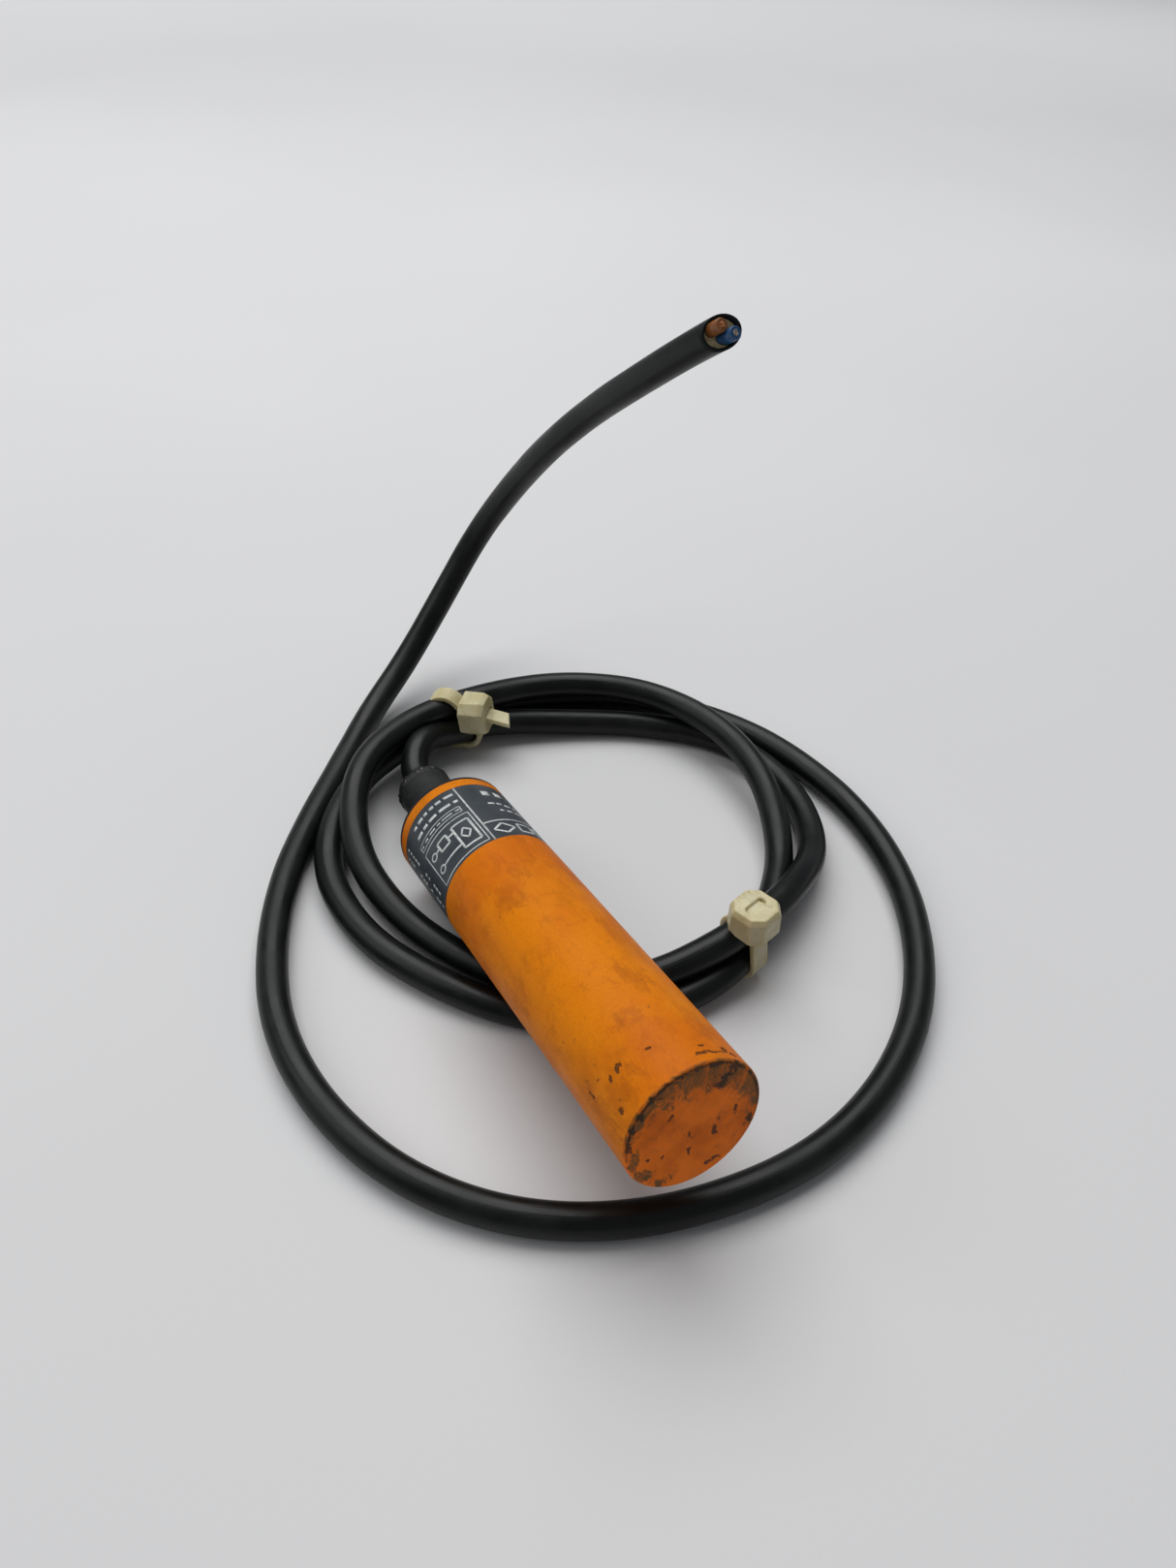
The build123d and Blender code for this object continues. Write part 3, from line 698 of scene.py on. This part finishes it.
class Look:
    """One material, with short calls for the nodes that the looks are built from."""

    def __init__(self, name, roughness=0.5, metallic=0.0, specular=0.5):
        self.material = bpy.data.materials.new(name)
        self.material.use_nodes = True
        self.tree = self.material.node_tree
        self.shader = self.tree.nodes["Principled BSDF"]
        settings = {"Roughness": roughness, "Metallic": metallic, "Specular IOR Level": specular}
        for key, value in settings.items():
            self.shader.inputs[key].default_value = value
        self.place = self.tree.nodes.new("ShaderNodeTexCoord").outputs["Object"]

    def node(self, kind, inputs=None, **settings):
        node = self.tree.nodes.new(kind)
        for key, value in settings.items():
            setattr(node, key, value)
        for key, value in (inputs or {}).items():
            self.feed(node.inputs[key], value)
        return node

    def feed(self, socket, value):
        if isinstance(value, bpy.types.NodeSocket):
            self.tree.links.new(value, socket)
        else:
            socket.default_value = value

    def stretch(self, x, y, z, place=None):
        return self.node("ShaderNodeMapping", {"Vector": place or self.place, "Scale": (x, y, z)}).outputs[0]

    def noise(self, scale, detail=3.0, rough=0.5, place=None, twist=0.0):
        inputs = {"Vector": place or self.place, "Scale": scale, "Detail": detail,
                  "Roughness": rough, "Distortion": twist}
        return self.node("ShaderNodeTexNoise", inputs).outputs["Fac"]

    def cells(self, scale, place, feature):
        inputs = {"Vector": place, "Scale": scale}
        return self.node("ShaderNodeTexVoronoi", inputs, feature=feature).outputs["Distance"]

    def ease(self, value, low, high, start=0.0, stop=1.0):
        """start below low, stop above high, smooth between them."""
        inputs = {0: value, 1: low, 2: high, 3: start, 4: stop}
        return self.node("ShaderNodeMapRange", inputs, interpolation_type="SMOOTHSTEP").outputs[0]

    def part(self, place, axis):
        """One coordinate of a place."""
        return self.node("ShaderNodeSeparateXYZ", {0: place}).outputs[axis]

    def times(self, first, second):
        return self.math("MULTIPLY", first, second)

    def cloud(self, scale, low, high, place=None, detail=4, rough=0.6, twist=0.0, start=0.0, stop=1.0):
        """Soft patches of noise: start where it is below low, stop where it is above high."""
        return self.ease(self.noise(scale, detail, rough, place, twist), low, high, start, stop)

    def math(self, operation, first, second=0.0):
        return self.node("ShaderNodeMath", {0: first, 1: second}, operation=operation).outputs[0]

    def mix(self, share, first, second):
        inputs = {0: share, 6: first, 7: second}
        return self.node("ShaderNodeMix", inputs, data_type="RGBA").outputs[2]

    def spot(self, place, centre, size):
        """1 at a centre, falling to 0 at an ellipsoid of this size and below 0 outside it."""
        moved = self.vector("SUBTRACT", place, centre)
        scaled = self.vector("DIVIDE", moved, size)
        length = self.length(scaled)
        return self.math("SUBTRACT", 1.0, length)

    def vector(self, operation, first, second):
        return self.node("ShaderNodeVectorMath", {0: first, 1: second}, operation=operation).outputs[0]

    def length(self, place):
        return self.node("ShaderNodeVectorMath", {0: place}, operation="LENGTH").outputs["Value"]

    def tint(self, colour, mask, strength, other):
        """Lays another colour over a colour, by a share of a mask."""
        return self.mix(self.times(mask, strength), colour, other)

    def base(self, colour):
        self.feed(self.shader.inputs["Base Color"], colour)

    def gloss(self, value):
        self.feed(self.shader.inputs["Roughness"], value)

    def bump(self, *layers):
        """Stacks (height, distance) layers of bump."""
        normal = None
        for height, distance in layers:
            inputs = {"Height": height, "Distance": distance}
            if normal is not None:
                inputs["Normal"] = normal
            normal = self.node("ShaderNodeBump", inputs).outputs[0]
        self.feed(self.shader.inputs["Normal"], normal)

    def give(self, *names):
        """Puts this material on objects."""
        for name in names:
            data = bpy.data.objects[name].data
            data.materials.clear()
            data.materials.append(self.material)


# Colours, linear.
ORANGE = (0.58, 0.138, 0.0, 1)
ORANGE_LIGHT = (0.66, 0.19, 0.0, 1)
ORANGE_BROWN = (0.28, 0.058, 0.002, 1)
# Painted light: the face's two tones are set brighter and redder than the barrel's, though the face is the
# same plastic, to stand in for lamp light that falls short on it.
FACE_ORANGE_PAINTED_LIGHT = (0.92, 0.19, 0.0, 1)
FACE_BROWN_PAINTED_LIGHT = (0.66, 0.128, 0.001, 1)
FACE_DARK = (0.13, 0.035, 0.006, 1)
DIRT = (0.05, 0.02, 0.008, 1)
OLIVE = (0.105, 0.066, 0.02, 1)
FACE_BLACK = (0.018, 0.014, 0.007, 1)

# Pitch of the winding's turns and of the board's glass cloth, in metres.
TURN_PITCH = 0.00022
WEAVE_PITCH = 0.0006

# A mark fades out at MARK_SCALE times its size.
MARK_SCALE = 0.00142
# Marks on the barrel: angle in degrees, distance, width and length in millimetres.
BARREL_MARKS = [
    (129, 7.1, 0.45, 0.5), (133, 6.7, 0.35, 0.5), (143, 6.6, 0.4, 0.6), (151, 8.3, 0.35, 0.4),
    (165, 8.7, 0.28, 1.5), (66, 1.6, 1.2, 0.36), (75, 1.7, 1.3, 0.36), (72, 3.2, 0.7, 0.28),
    (54, 2.4, 0.5, 0.9), (49, 1.2, 0.8, 0.4), (107, 6.0, 0.35, 0.3), (151, 2.6, 0.35, 0.7),
    (20, 12, 1.2, 0.7), (235, 20, 0.8, 1.6), (300, 48, 0.5, 2.2), (210, 60, 0.4, 1.1),
]
BARREL_SMUDGES = [
    (75, 18, 2.2, 3.4), (118, 43, 2.6, 3.2), (160, 52, 1.6, 4.0), (62, 30, 1.2, 4.5), (172, 30, 1.2, 5.0),
    (48, 45, 1.2, 4.0), (96, 47, 2.0, 2.2), (140, 4, 4.0, 2.6), (168, 6, 2.0, 5.0), (58, 7, 1.8, 4.0),
    (105, 12, 2.6, 1.6), (25, 20, 2.0, 6.0), (235, 22, 3.0, 5.0), (300, 50, 3.0, 5.0), (265, 8, 4.0, 4.0),
]
# Middle and radius of the clean patch that the dirt inside the rim thins out towards, in metres.
CLEAN_CENTRE = (-0.0014, -0.005, 0.0)
CLEAN_R = 0.0084
# Smears and marks on the face: across, up, width and height in millimetres.
FACE_SMEARS = [(-7.6, -4.4, 1.8, 1.3), (-8.6, -1.4, 1.1, 1.6), (-5.4, -7.6, 2.2, 1.0), (3.6, 5.6, 3.0, 1.8)]
FACE_MARKS = [
    (-9.2, 1.2, 0.5, 1.0), (-8.7, 3.6, 0.6, 1.1), (-7.4, 5.9, 0.9, 0.9), (-5.6, 7.6, 1.2, 0.6),
    (-3.0, 8.9, 1.4, 0.5), (-0.2, 9.3, 1.5, 0.4), (2.8, 8.9, 1.3, 0.5), (4.2, 5.7, 1.5, 1.3),
    (5.6, 7.2, 1.2, 1.0), (8.3, -3.4, 0.8, 1.1), (-3.3, 3.1, 0.35, 0.9), (-0.6, -1.6, 0.28, 1.4),
    (-0.9, -3.9, 0.32, 1.3), (3.1, -2.6, 0.5, 1.0), (3.7, -1.0, 0.3, 0.6), (2.4, -7.9, 1.5, 0.45),
    (-1.6, -0.6, 0.25, 0.5), (-4.6, -3.0, 0.3, 0.4), (6.2, -0.4, 0.35, 0.8), (-6.6, -2.2, 0.3, 0.4),
]


def barrel_place(look):
    """Object coordinates turned into the barrel's own frame: SIDE, UP, and minus the distance."""
    turn = Matrix((SIDE, UP, -AXIS)).transposed()
    inputs = {"Vector": look.place, "Location": FACE, "Rotation": turn.to_euler()}
    return look.node("ShaderNodeMapping", inputs, vector_type="TEXTURE").outputs[0]


def ragged(look, mask, noise, amount):
    """Breaks up a soft mask with noise."""
    push = look.times(look.math("SUBTRACT", noise, 0.5), amount)
    push = look.times(push, look.ease(mask, -0.1, 0.3))
    return look.ease(look.math("ADD", mask, push), 0.28, 0.72)


def barrel_marks(look, place, marks):
    """Strongest of the marks in a list of angle, distance, width and length."""
    masks = []
    for angle, distance, wide, long in marks:
        turn = radians(angle)
        centre = (BARREL_R * cos(turn), BARREL_R * sin(turn), -distance / 1000)
        masks.append(look.spot(place, centre, (wide * MARK_SCALE, wide * MARK_SCALE, long * MARK_SCALE)))
    return strongest(look, masks)


def strongest(look, masks):
    total = masks[0]
    for mask in masks[1:]:
        total = look.math("MAXIMUM", total, mask)
    return total


def barrel_look():
    """Satin orange plastic, blotchy with handling, with specks, scratches and a dirty worn face whose orange
    is brightened as painted light.
    """
    look = Look("barrel_orange", roughness=0.48, specular=0.1)
    place = barrel_place(look)
    wobble = look.noise(900, 3, 0.6, place)
    shifted = look.vector("ADD", place, warp(look, place))

    colour = look.mix(look.cloud(55, 0.38, 0.66, place), ORANGE, ORANGE_LIGHT)
    brown = look.cloud(120, 0.5, 0.7, look.stretch(1, 1, 0.45, place), detail=5, rough=0.65, twist=0.6)
    colour = look.tint(colour, brown, 0.26, ORANGE_BROWN)
    mottle = look.cloud(330, 0.47, 0.66, look.stretch(1, 1, 0.6, place), detail=6, rough=0.74, twist=0.9)
    colour = look.tint(colour, mottle, 0.28, ORANGE_BROWN)
    grain = look.cloud(2600, 0.36, 0.7, place, rough=0.7)
    colour = look.tint(colour, grain, 0.18, ORANGE_BROWN)

    specks = look.cloud(780, 0.62, 0.7, place, rough=0.75)
    gather = look.cloud(90, 0.42, 0.62, place, detail=2, rough=0.5)
    specks = look.times(specks, gather)
    colour = look.tint(colour, specks, 0.6, DIRT)

    cloud = look.noise(520, 6, 0.8, look.stretch(1, 1, 0.5, place), 1.0)
    smudge = ragged(look, barrel_marks(look, place, BARREL_SMUDGES), cloud, 5.0)
    colour = look.tint(colour, smudge, 0.3, ORANGE_BROWN)
    dark = ragged(look, barrel_marks(look, shifted, BARREL_MARKS), wobble, 2.4)
    colour = look.tint(colour, dark, 0.85, DIRT)

    depth = look.part(place, "Z")
    on_face = look.ease(depth, -0.0006, -0.0002)
    face = face_colour(look, place, shifted, wobble)
    colour = look.mix(on_face, colour, face)
    look.base(colour)
    rough = look.cloud(140, 0.3, 0.75, place, start=0.4, stop=0.58)
    look.gloss(look.math("ADD", rough, look.times(dark, 0.2)))
    scratch = look.noise(700, 3, 0.6, look.stretch(1.0, 1.0, 0.06, place))
    look.bump((look.noise(1500, 4, 0.6, place), 0.00003), (scratch, 0.00002), (dark, -0.00012))
    look.give("housing_sleeve")


def warp(look, place):
    """Small irregular shift that frays the edges of marks."""
    inputs = {"Vector": place, "Scale": 650.0, "Detail": 3.0}
    colour = look.node("ShaderNodeTexNoise", inputs).outputs["Color"]
    centred = look.vector("SUBTRACT", colour, (0.5, 0.5, 0.5))
    return look.node("ShaderNodeVectorMath", {0: centred, "Scale": 0.0016}, operation="SCALE").outputs[0]


def face_colour(look, place, shifted, wobble):
    """The sensing face: orange made brighter than the barrel's as painted light, darker grime, an
    olive-black arc of dirt inside the rim, and scratches.
    """
    # Painted light: the face's base tones are brighter than the barrel's plastic.
    colour = look.mix(look.cloud(170, 0.36, 0.66, place), FACE_ORANGE_PAINTED_LIGHT, FACE_BROWN_PAINTED_LIGHT)
    grime = look.cloud(420, 0.55, 0.72, place, rough=0.7, twist=0.8)
    colour = look.tint(colour, grime, 0.36, FACE_DARK)
    smear = look.noise(430, 6, 0.75, look.stretch(1.0, 0.6, 1.0, place), 1.4)
    film = look.math("MAXIMUM", smear_band(look, shifted, smear),
                     ragged(look, face_marks(look, shifted, FACE_SMEARS), smear, 4.5))
    colour = look.mix(look.times(film, look.ease(smear, 0.38, 0.6, 0.42, 0.9)), colour, OLIVE)
    dark = ragged(look, face_marks(look, shifted, FACE_MARKS), wobble, 3.2)
    dark = look.math("MAXIMUM", dark, rim_dirt(look, place, smear))
    return look.tint(colour, dark, 0.85, FACE_BLACK)


def smear_band(look, place, noise):
    """Dirt inside the face's upper rim, thinning out towards a clean round patch."""
    offset = look.vector("SUBTRACT", place, CLEAN_CENTRE)
    reach = look.length(offset)
    band = look.ease(reach, CLEAN_R, CLEAN_R + 0.0055)
    push = look.times(look.math("SUBTRACT", noise, 0.5), 3.4)
    push = look.times(push, look.ease(band, 0.0, 0.25))
    return look.ease(look.math("ADD", band, push), 0.04, 0.72)


def face_marks(look, place, marks):
    """Strongest of the marks in a list of across, up, width and height."""
    masks = []
    for across, up, wide, high in marks:
        size = (wide * MARK_SCALE, high * MARK_SCALE, 0.003)
        masks.append(look.spot(place, (across / 1000, up / 1000, 0), size))
    return strongest(look, masks)


def rim_dirt(look, place, noise):
    """Dark line just inside the face's rim, round its upper half."""
    parts = look.node("ShaderNodeSeparateXYZ", {0: place}).outputs
    flat = look.node("ShaderNodeCombineXYZ", {"X": parts["X"], "Y": parts["Y"]}).outputs[0]
    reach = look.length(flat)
    line = look.times(look.ease(reach, 0.0092, 0.0095), look.ease(reach, 0.0097, 0.0099, 1.0, 0.0))
    upper = look.ease(parts["Y"], -0.003, 0.003)
    return look.times(look.times(line, upper), look.ease(noise, 0.36, 0.52, 0.2, 1.0))


def label_look():
    """Dark film with a faint satin grain and scuffs along its edges."""
    look = Look("label_film", roughness=0.38, specular=0.32)
    place = barrel_place(look)
    colour = look.mix(look.cloud(160, 0.35, 0.7, place), (0.027, 0.034, 0.041, 1),
                      (0.042, 0.049, 0.056, 1))
    dust = look.cloud(1900, 0.62, 0.76, place, detail=5, rough=0.75)
    colour = look.tint(colour, dust, 0.28, (0.2, 0.2, 0.19, 1))
    look.base(colour)
    look.gloss(look.cloud(260, 0.3, 0.7, place, start=0.32, stop=0.5))
    look.bump((look.noise(900, 3, 0.5, place), 0.000015), (dust, 0.000012))
    look.give("label_band")

    ink = Look("label_ink", roughness=0.5)
    worn = ink.cloud(1500, 0.5, 0.66, detail=5, rough=0.75)
    faded = ink.cloud(150, 0.35, 0.65, detail=3, rough=0.5)
    faded = ink.mix(faded, (0.6, 0.62, 0.6, 1), (0.44, 0.47, 0.47, 1))
    ink.base(ink.mix(ink.times(worn, 0.55), faded, (0.13, 0.14, 0.15, 1)))
    ink.gloss(ink.ease(worn, 0.0, 1.0, 0.46, 0.62))
    ink.bump((worn, -0.00001))
    ink.give("label_print")


def cable_look():
    """Satin black PVC: soft patches of gloss, faint flow lines along the cable, and dust."""
    look = Look("cable_pvc", roughness=0.38, specular=0.24)
    along = look.node("ShaderNodeUVMap", uv_map="UVMap").outputs[0]
    lines = look.noise(60, 3, 0.5, look.stretch(1.0, 1.5, 1.0, along))
    patch = look.noise(110, 4, 0.6)
    colour = look.mix(look.ease(patch, 0.35, 0.7), (0.0018, 0.0026, 0.0024, 1), (0.006, 0.0074, 0.0068, 1))
    dust = look.cloud(1300, 0.63, 0.76, detail=5, rough=0.78)
    colour = look.tint(colour, dust, 0.3, (0.075, 0.075, 0.065, 1))
    look.base(colour)
    gloss = look.ease(patch, 0.3, 0.75, 0.3, 0.46)
    look.gloss(look.math("ADD", gloss, look.times(dust, 0.15)))
    look.bump((lines, 0.00003), (look.noise(420, 3, 0.55), 0.00003), (look.noise(3200, 3, 0.6), 0.000008))
    look.give("cable_jacket_tube", "cable_tail")


def boot_look():
    """Black rubber: matt, slightly pitted, with painted shade darkening the ragged rim and pale dust caught
    in it.
    """
    look = Look("boot_rubber", roughness=0.55, specular=0.3)
    place = barrel_place(look)
    depth = look.part(place, "Z")
    rim = look.ease(depth, -0.0902, -0.0907)
    colour = look.mix(look.cloud(240, 0.35, 0.7, place), (0.007, 0.008, 0.008, 1),
                      (0.0145, 0.0155, 0.015, 1))
    # Painted shade: the ragged rim, where the boot curls in round the cable, is darkened towards black.
    colour = look.tint(colour, rim, 0.7, (0.0035, 0.0035, 0.003, 1))
    specks = look.cloud(1500, 0.62, 0.7, place, detail=3, rough=0.7)
    specks = look.times(specks, look.ease(rim, 0.0, 1.0, 0.15, 0.9))
    colour = look.mix(specks, colour, (0.22, 0.21, 0.18, 1))
    look.base(colour)
    look.gloss(look.cloud(500, 0.3, 0.7, place, start=0.44, stop=0.66))
    look.bump((look.noise(700, 4, 0.6, place), 0.00005), (look.noise(3000, 3, 0.6, place), 0.00001))
    look.give("boot_sleeve")


def nylon_look():
    """Aged natural nylon: ivory, a little translucent, dirty in its hollows and scratched."""
    look = Look("tie_nylon", roughness=0.38)
    look.shader.inputs["Subsurface Weight"].default_value = 0.35
    look.shader.inputs["Subsurface Radius"].default_value = (0.002, 0.0016, 0.0009)
    look.shader.inputs["Subsurface Scale"].default_value = 1.0
    colour = look.mix(look.cloud(260, 0.35, 0.7), (0.47, 0.415, 0.22, 1),
                      (0.57, 0.52, 0.33, 1))
    stain = look.cloud(520, 0.56, 0.74, detail=5, rough=0.7, twist=0.7)
    colour = look.tint(colour, stain, 0.35, (0.25, 0.2, 0.09, 1))
    edges = look.cells(1500, look.stretch(1.0, 0.35, 1.0), "DISTANCE_TO_EDGE")
    scratch = look.ease(edges, 0.0, 0.035, 1.0, 0.0)
    scratch = look.times(scratch, look.cloud(400, 0.52, 0.62, detail=2, rough=0.5))
    colour = look.tint(colour, scratch, 0.5, (0.16, 0.14, 0.07, 1))
    look.base(colour)
    look.gloss(look.cloud(700, 0.3, 0.7, start=0.3, stop=0.5))
    look.bump((look.noise(900, 4, 0.6), 0.00004), (scratch, -0.00003))
    look.give("rear_tie_nylon", "side_tie_nylon")


def simple_look(name, first, second, nodes, roughness=0.5, metallic=0.0, specular=0.5, scale=400.0,
                grain=0.00002, streak=(1.0, 1.0, 1.0)):
    """Two-tone surface with uneven gloss, fine grain and a little grime; streak draws it out."""
    look = Look(name, roughness, metallic, specular)
    place = look.stretch(*streak)
    soft = look.noise(scale, 4, 0.6, place)
    colour = look.mix(look.ease(soft, 0.34, 0.68), (*first, 1), (*second, 1))
    grime = look.cloud(scale * 3.1, 0.56, 0.76, detail=5, rough=0.72, twist=0.4)
    dark = tuple(value * 0.3 for value in first)
    look.base(look.tint(colour, grime, 0.25, (*dark, 1)))
    look.gloss(look.ease(soft, 0.3, 0.72, max(0.05, roughness - 0.08), min(1.0, roughness + 0.1)))
    look.bump((look.noise(scale * 4.7, 3, 0.6, place), grain), (grime, -grain / 2))
    look.give(*nodes)


def winding_look():
    """Enamelled copper: fine turns as bands round the coil."""
    look = Look("winding_wire", roughness=0.3, metallic=0.85)
    place = barrel_place(look)
    depth = look.part(place, "Z")
    turns = look.math("SINE", look.times(depth, 2 * pi / TURN_PITCH))
    uneven = look.noise(900, 3, 0.6, place)
    colour = look.mix(look.ease(turns, -1.0, 0.8), (0.22, 0.06, 0.018, 1), (0.62, 0.24, 0.08, 1))
    look.base(look.tint(colour, uneven, 0.3, (0.3, 0.09, 0.03, 1)))
    look.bump((turns, 0.00005), (uneven, 0.00002))
    look.give("coil_winding")


def board_look():
    """Green solder mask with paler tracks that run along the board, and a woven grain."""
    look = Look("board_laminate", roughness=0.35)
    place = barrel_place(look)
    tracks = look.cloud(330, 0.5, 0.53, look.stretch(1.0, 1.0, 0.12, place), detail=1.0, rough=0.4)
    weave = look.times(sine_along(look, place, "X"), sine_along(look, place, "Z"))
    colour = look.mix(tracks, (0.012, 0.085, 0.03, 1), (0.035, 0.19, 0.06, 1))
    look.base(look.mix(look.ease(weave, -1.0, 1.0, 0.0, 0.2), colour, (0.1, 0.24, 0.1, 1)))
    look.gloss(look.cloud(800, 0.3, 0.7, place, detail=3, start=0.28, stop=0.45))
    look.bump((tracks, 0.00003), (weave, 0.00001))
    look.give("circuit_board")


def sine_along(look, place, axis):
    return look.math("SINE", look.times(look.part(place, axis), 2 * pi / WEAVE_PITCH))


SIMPLE_LOOKS = [
    # name, two colours, nodes, other settings
    ("cap_black", (0.007, 0.0075, 0.008), (0.014, 0.015, 0.016), ["rear_cap"],
     dict(roughness=0.5, specular=0.15)),
    ("seal_rubber", (0.016, 0.016, 0.016), (0.03, 0.03, 0.03), ["cap_seal"], dict(roughness=0.6)),
    ("filler", (0.34, 0.27, 0.13), (0.52, 0.44, 0.26), ["end_filling"],
     dict(roughness=0.8, scale=1500.0, grain=0.00012, streak=(1.0, 0.25, 1.0))),
    ("core_brown", (0.15, 0.05, 0.011), (0.26, 0.09, 0.022), ["brown_core_end", "brown_conductor"],
     dict(roughness=0.38, scale=700.0)),
    ("core_blue", (0.006, 0.045, 0.13), (0.016, 0.085, 0.21), ["blue_core_end", "blue_conductor"],
     dict(roughness=0.36, scale=700.0)),
    ("copper", (0.48, 0.19, 0.075), (0.7, 0.33, 0.16), ["brown_wires"],
     dict(roughness=0.34, metallic=0.9, scale=3000.0)),
    ("tinned", (0.38, 0.3, 0.24), (0.62, 0.55, 0.47), ["blue_wires"],
     dict(roughness=0.34, metallic=0.9, scale=3000.0)),
    ("ferrite", (0.03, 0.03, 0.033), (0.06, 0.06, 0.064), ["ferrite_core"],
     dict(roughness=0.62, scale=900.0, grain=0.00004)),
    ("bobbin", (0.6, 0.57, 0.46), (0.72, 0.69, 0.58), ["coil_bobbin"], dict(roughness=0.45)),
    ("lead_wire", (0.42, 0.15, 0.05), (0.66, 0.27, 0.1), ["coil_leads"],
     dict(roughness=0.28, metallic=0.9, scale=2500.0)),
    ("carrier", (0.018, 0.018, 0.02), (0.035, 0.035, 0.038), ["core_carrier"],
     dict(roughness=0.5, streak=(1.0, 1.0, 0.3))),
    ("screen", (0.5, 0.36, 0.14), (0.72, 0.55, 0.27), ["shield_sleeve"],
     dict(roughness=0.3, metallic=1.0, streak=(0.2, 1.0, 1.0))),
    ("moulding", (0.012, 0.012, 0.013), (0.028, 0.028, 0.029),
     ["oscillator_chip", "bridge_rectifier", "output_thyristor", "chip_resistors"],
     dict(roughness=0.58, scale=1500.0, grain=0.00003)),
    ("ceramic_tan", (0.38, 0.27, 0.14), (0.52, 0.4, 0.23), ["ceramic_capacitors"],
     dict(roughness=0.5, scale=1800.0)),
    ("film_red", (0.42, 0.05, 0.025), (0.6, 0.09, 0.045), ["film_capacitor"],
     dict(roughness=0.22, scale=500.0)),
    ("can", (0.42, 0.43, 0.45), (0.62, 0.63, 0.65), ["electrolytic_capacitor"],
     dict(roughness=0.3, metallic=1.0, streak=(1.0, 0.1, 1.0))),
    ("disc_blue", (0.02, 0.09, 0.28), (0.035, 0.15, 0.42), ["surge_suppressor"],
     dict(roughness=0.28, scale=500.0)),
    ("trimmer", (0.025, 0.1, 0.34), (0.045, 0.16, 0.46), ["trimmer"], dict(roughness=0.42)),
    ("diode", (0.5, 0.17, 0.05), (0.7, 0.3, 0.1), ["zener_diodes"],
     dict(roughness=0.12, scale=900.0)),
    ("tin", (0.46, 0.46, 0.47), (0.68, 0.68, 0.69), ["chip_leads", "solder_joints"],
     dict(roughness=0.28, metallic=1.0, scale=1200.0)),
    ("clamp", (0.4, 0.4, 0.41), (0.6, 0.6, 0.61), ["cable_clamp"],
     dict(roughness=0.34, metallic=1.0, streak=(1.0, 1.0, 0.15))),
    ("resin", (0.085, 0.062, 0.035), (0.15, 0.115, 0.07), ["potting_resin"],
     dict(roughness=0.2, scale=180.0, grain=0.00003)),
]


# ---- floor and light

def make_stage():
    bpy.ops.mesh.primitive_plane_add(size=FLOOR_SIZE, location=(0, 0, 0))
    floor = bpy.context.object
    floor.name = "floor"
    look = Look("floor_paper", roughness=0.75)
    soft = look.noise(3.0, 3, 0.5)
    near = look.mix(look.ease(soft, 0.3, 0.7), (0.59, 0.59, 0.593, 1), (0.62, 0.62, 0.622, 1))
    away = look.length(look.place)
    look.base(look.mix(look.ease(away, *FLOOR_PALES), near, (0.95, 0.95, 0.955, 1)))
    look.bump((look.noise(900, 3, 0.6), 0.00002))
    look.give("floor")


def add_area(name, place, target, size, energy):
    """Soft rectangular lamp at a place, aimed at a target."""
    data = bpy.data.lights.new(name, "AREA")
    data.shape = "RECTANGLE"
    data.size = size[0]
    data.size_y = size[1]
    data.energy = energy
    light = link(bpy.data.objects.new(name, data))
    light.location = place
    light.rotation_euler = (Vector(target) - Vector(place)).to_track_quat("-Z", "Y").to_euler()


def make_lights():
    for lamp in LAMPS:
        add_area(*lamp)
    world = bpy.data.worlds.new("room")
    world.use_nodes = True
    back = world.node_tree.nodes["Background"]
    back.inputs["Color"].default_value = ROOM_COLOUR
    back.inputs["Strength"].default_value = ROOM_LIGHT
    bpy.context.scene.world = world
    bpy.context.scene.view_settings.view_transform = "Standard"


# ---- everything

def main():
    random.seed(DRAW_SEED)
    make_camera()
    line = nurbs_line(cable_points())
    tip = line[-1]
    direction = (Vector(FREE_ROUTE[-1]) - Vector(FREE_ROUTE[-2])).normalized()
    across = Vector((0, 0, 1)).cross(direction).normalized()
    end = (tip, direction, across, direction.cross(across))

    cable = make_cable(line, end)
    x = CORE_SPREAD * cos(CORE_ROLL)
    y = CORE_SPREAD * sin(CORE_ROLL)
    filling = make_filling(end)
    brown = make_rod("brown_core_end", end, -x, -y, BROWN_REACH)
    blue = make_rod("blue_core_end", end, x, y, BLUE_REACH)
    brown_wires = make_strands("brown_wires", end, -x, -y, BROWN_REACH + 0.0001)
    blue_wires = make_strands("blue_wires", end, x, y, BLUE_REACH + 0.00015)
    rear_tie = make_tie("rear_tie_nylon", line, REAR_TIE, TAIL_REACH)
    side_tie = make_tie("side_tie_nylon", line, SIDE_TIE, 0.0)
    boot = make_boot()
    ink = make_label_print()

    pieces = {
        cable: ("cable_jacket", ["cable_lead", "cable_coil", "cable_free", "end_jacket"]),
        filling: ("cable_filler", ["end_filler"]),
        brown: ("core_brown", ["brown_core"]),
        blue: ("core_blue", ["blue_core"]),
        brown_wires: ("copper", ["brown_strands"]),
        blue_wires: ("copper", ["blue_strands"]),
        rear_tie: ("tie_nylon", ["tie_rear"]),
        side_tie: ("tie_nylon", ["tie_side"]),
        boot: ("boot_rubber", ["cable_boot"]),
        ink: ("label_foil", []),
    }
    for piece, (slot, nodes) in pieces.items():
        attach(piece, "root")
        if nodes:
            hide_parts(*nodes)

    barrel_look()
    label_look()
    cable_look()
    boot_look()
    nylon_look()
    winding_look()
    board_look()
    for name, first, second, nodes, settings in SIMPLE_LOOKS:
        simple_look(name, first, second, nodes, **settings)
    make_stage()
    make_lights()


main()
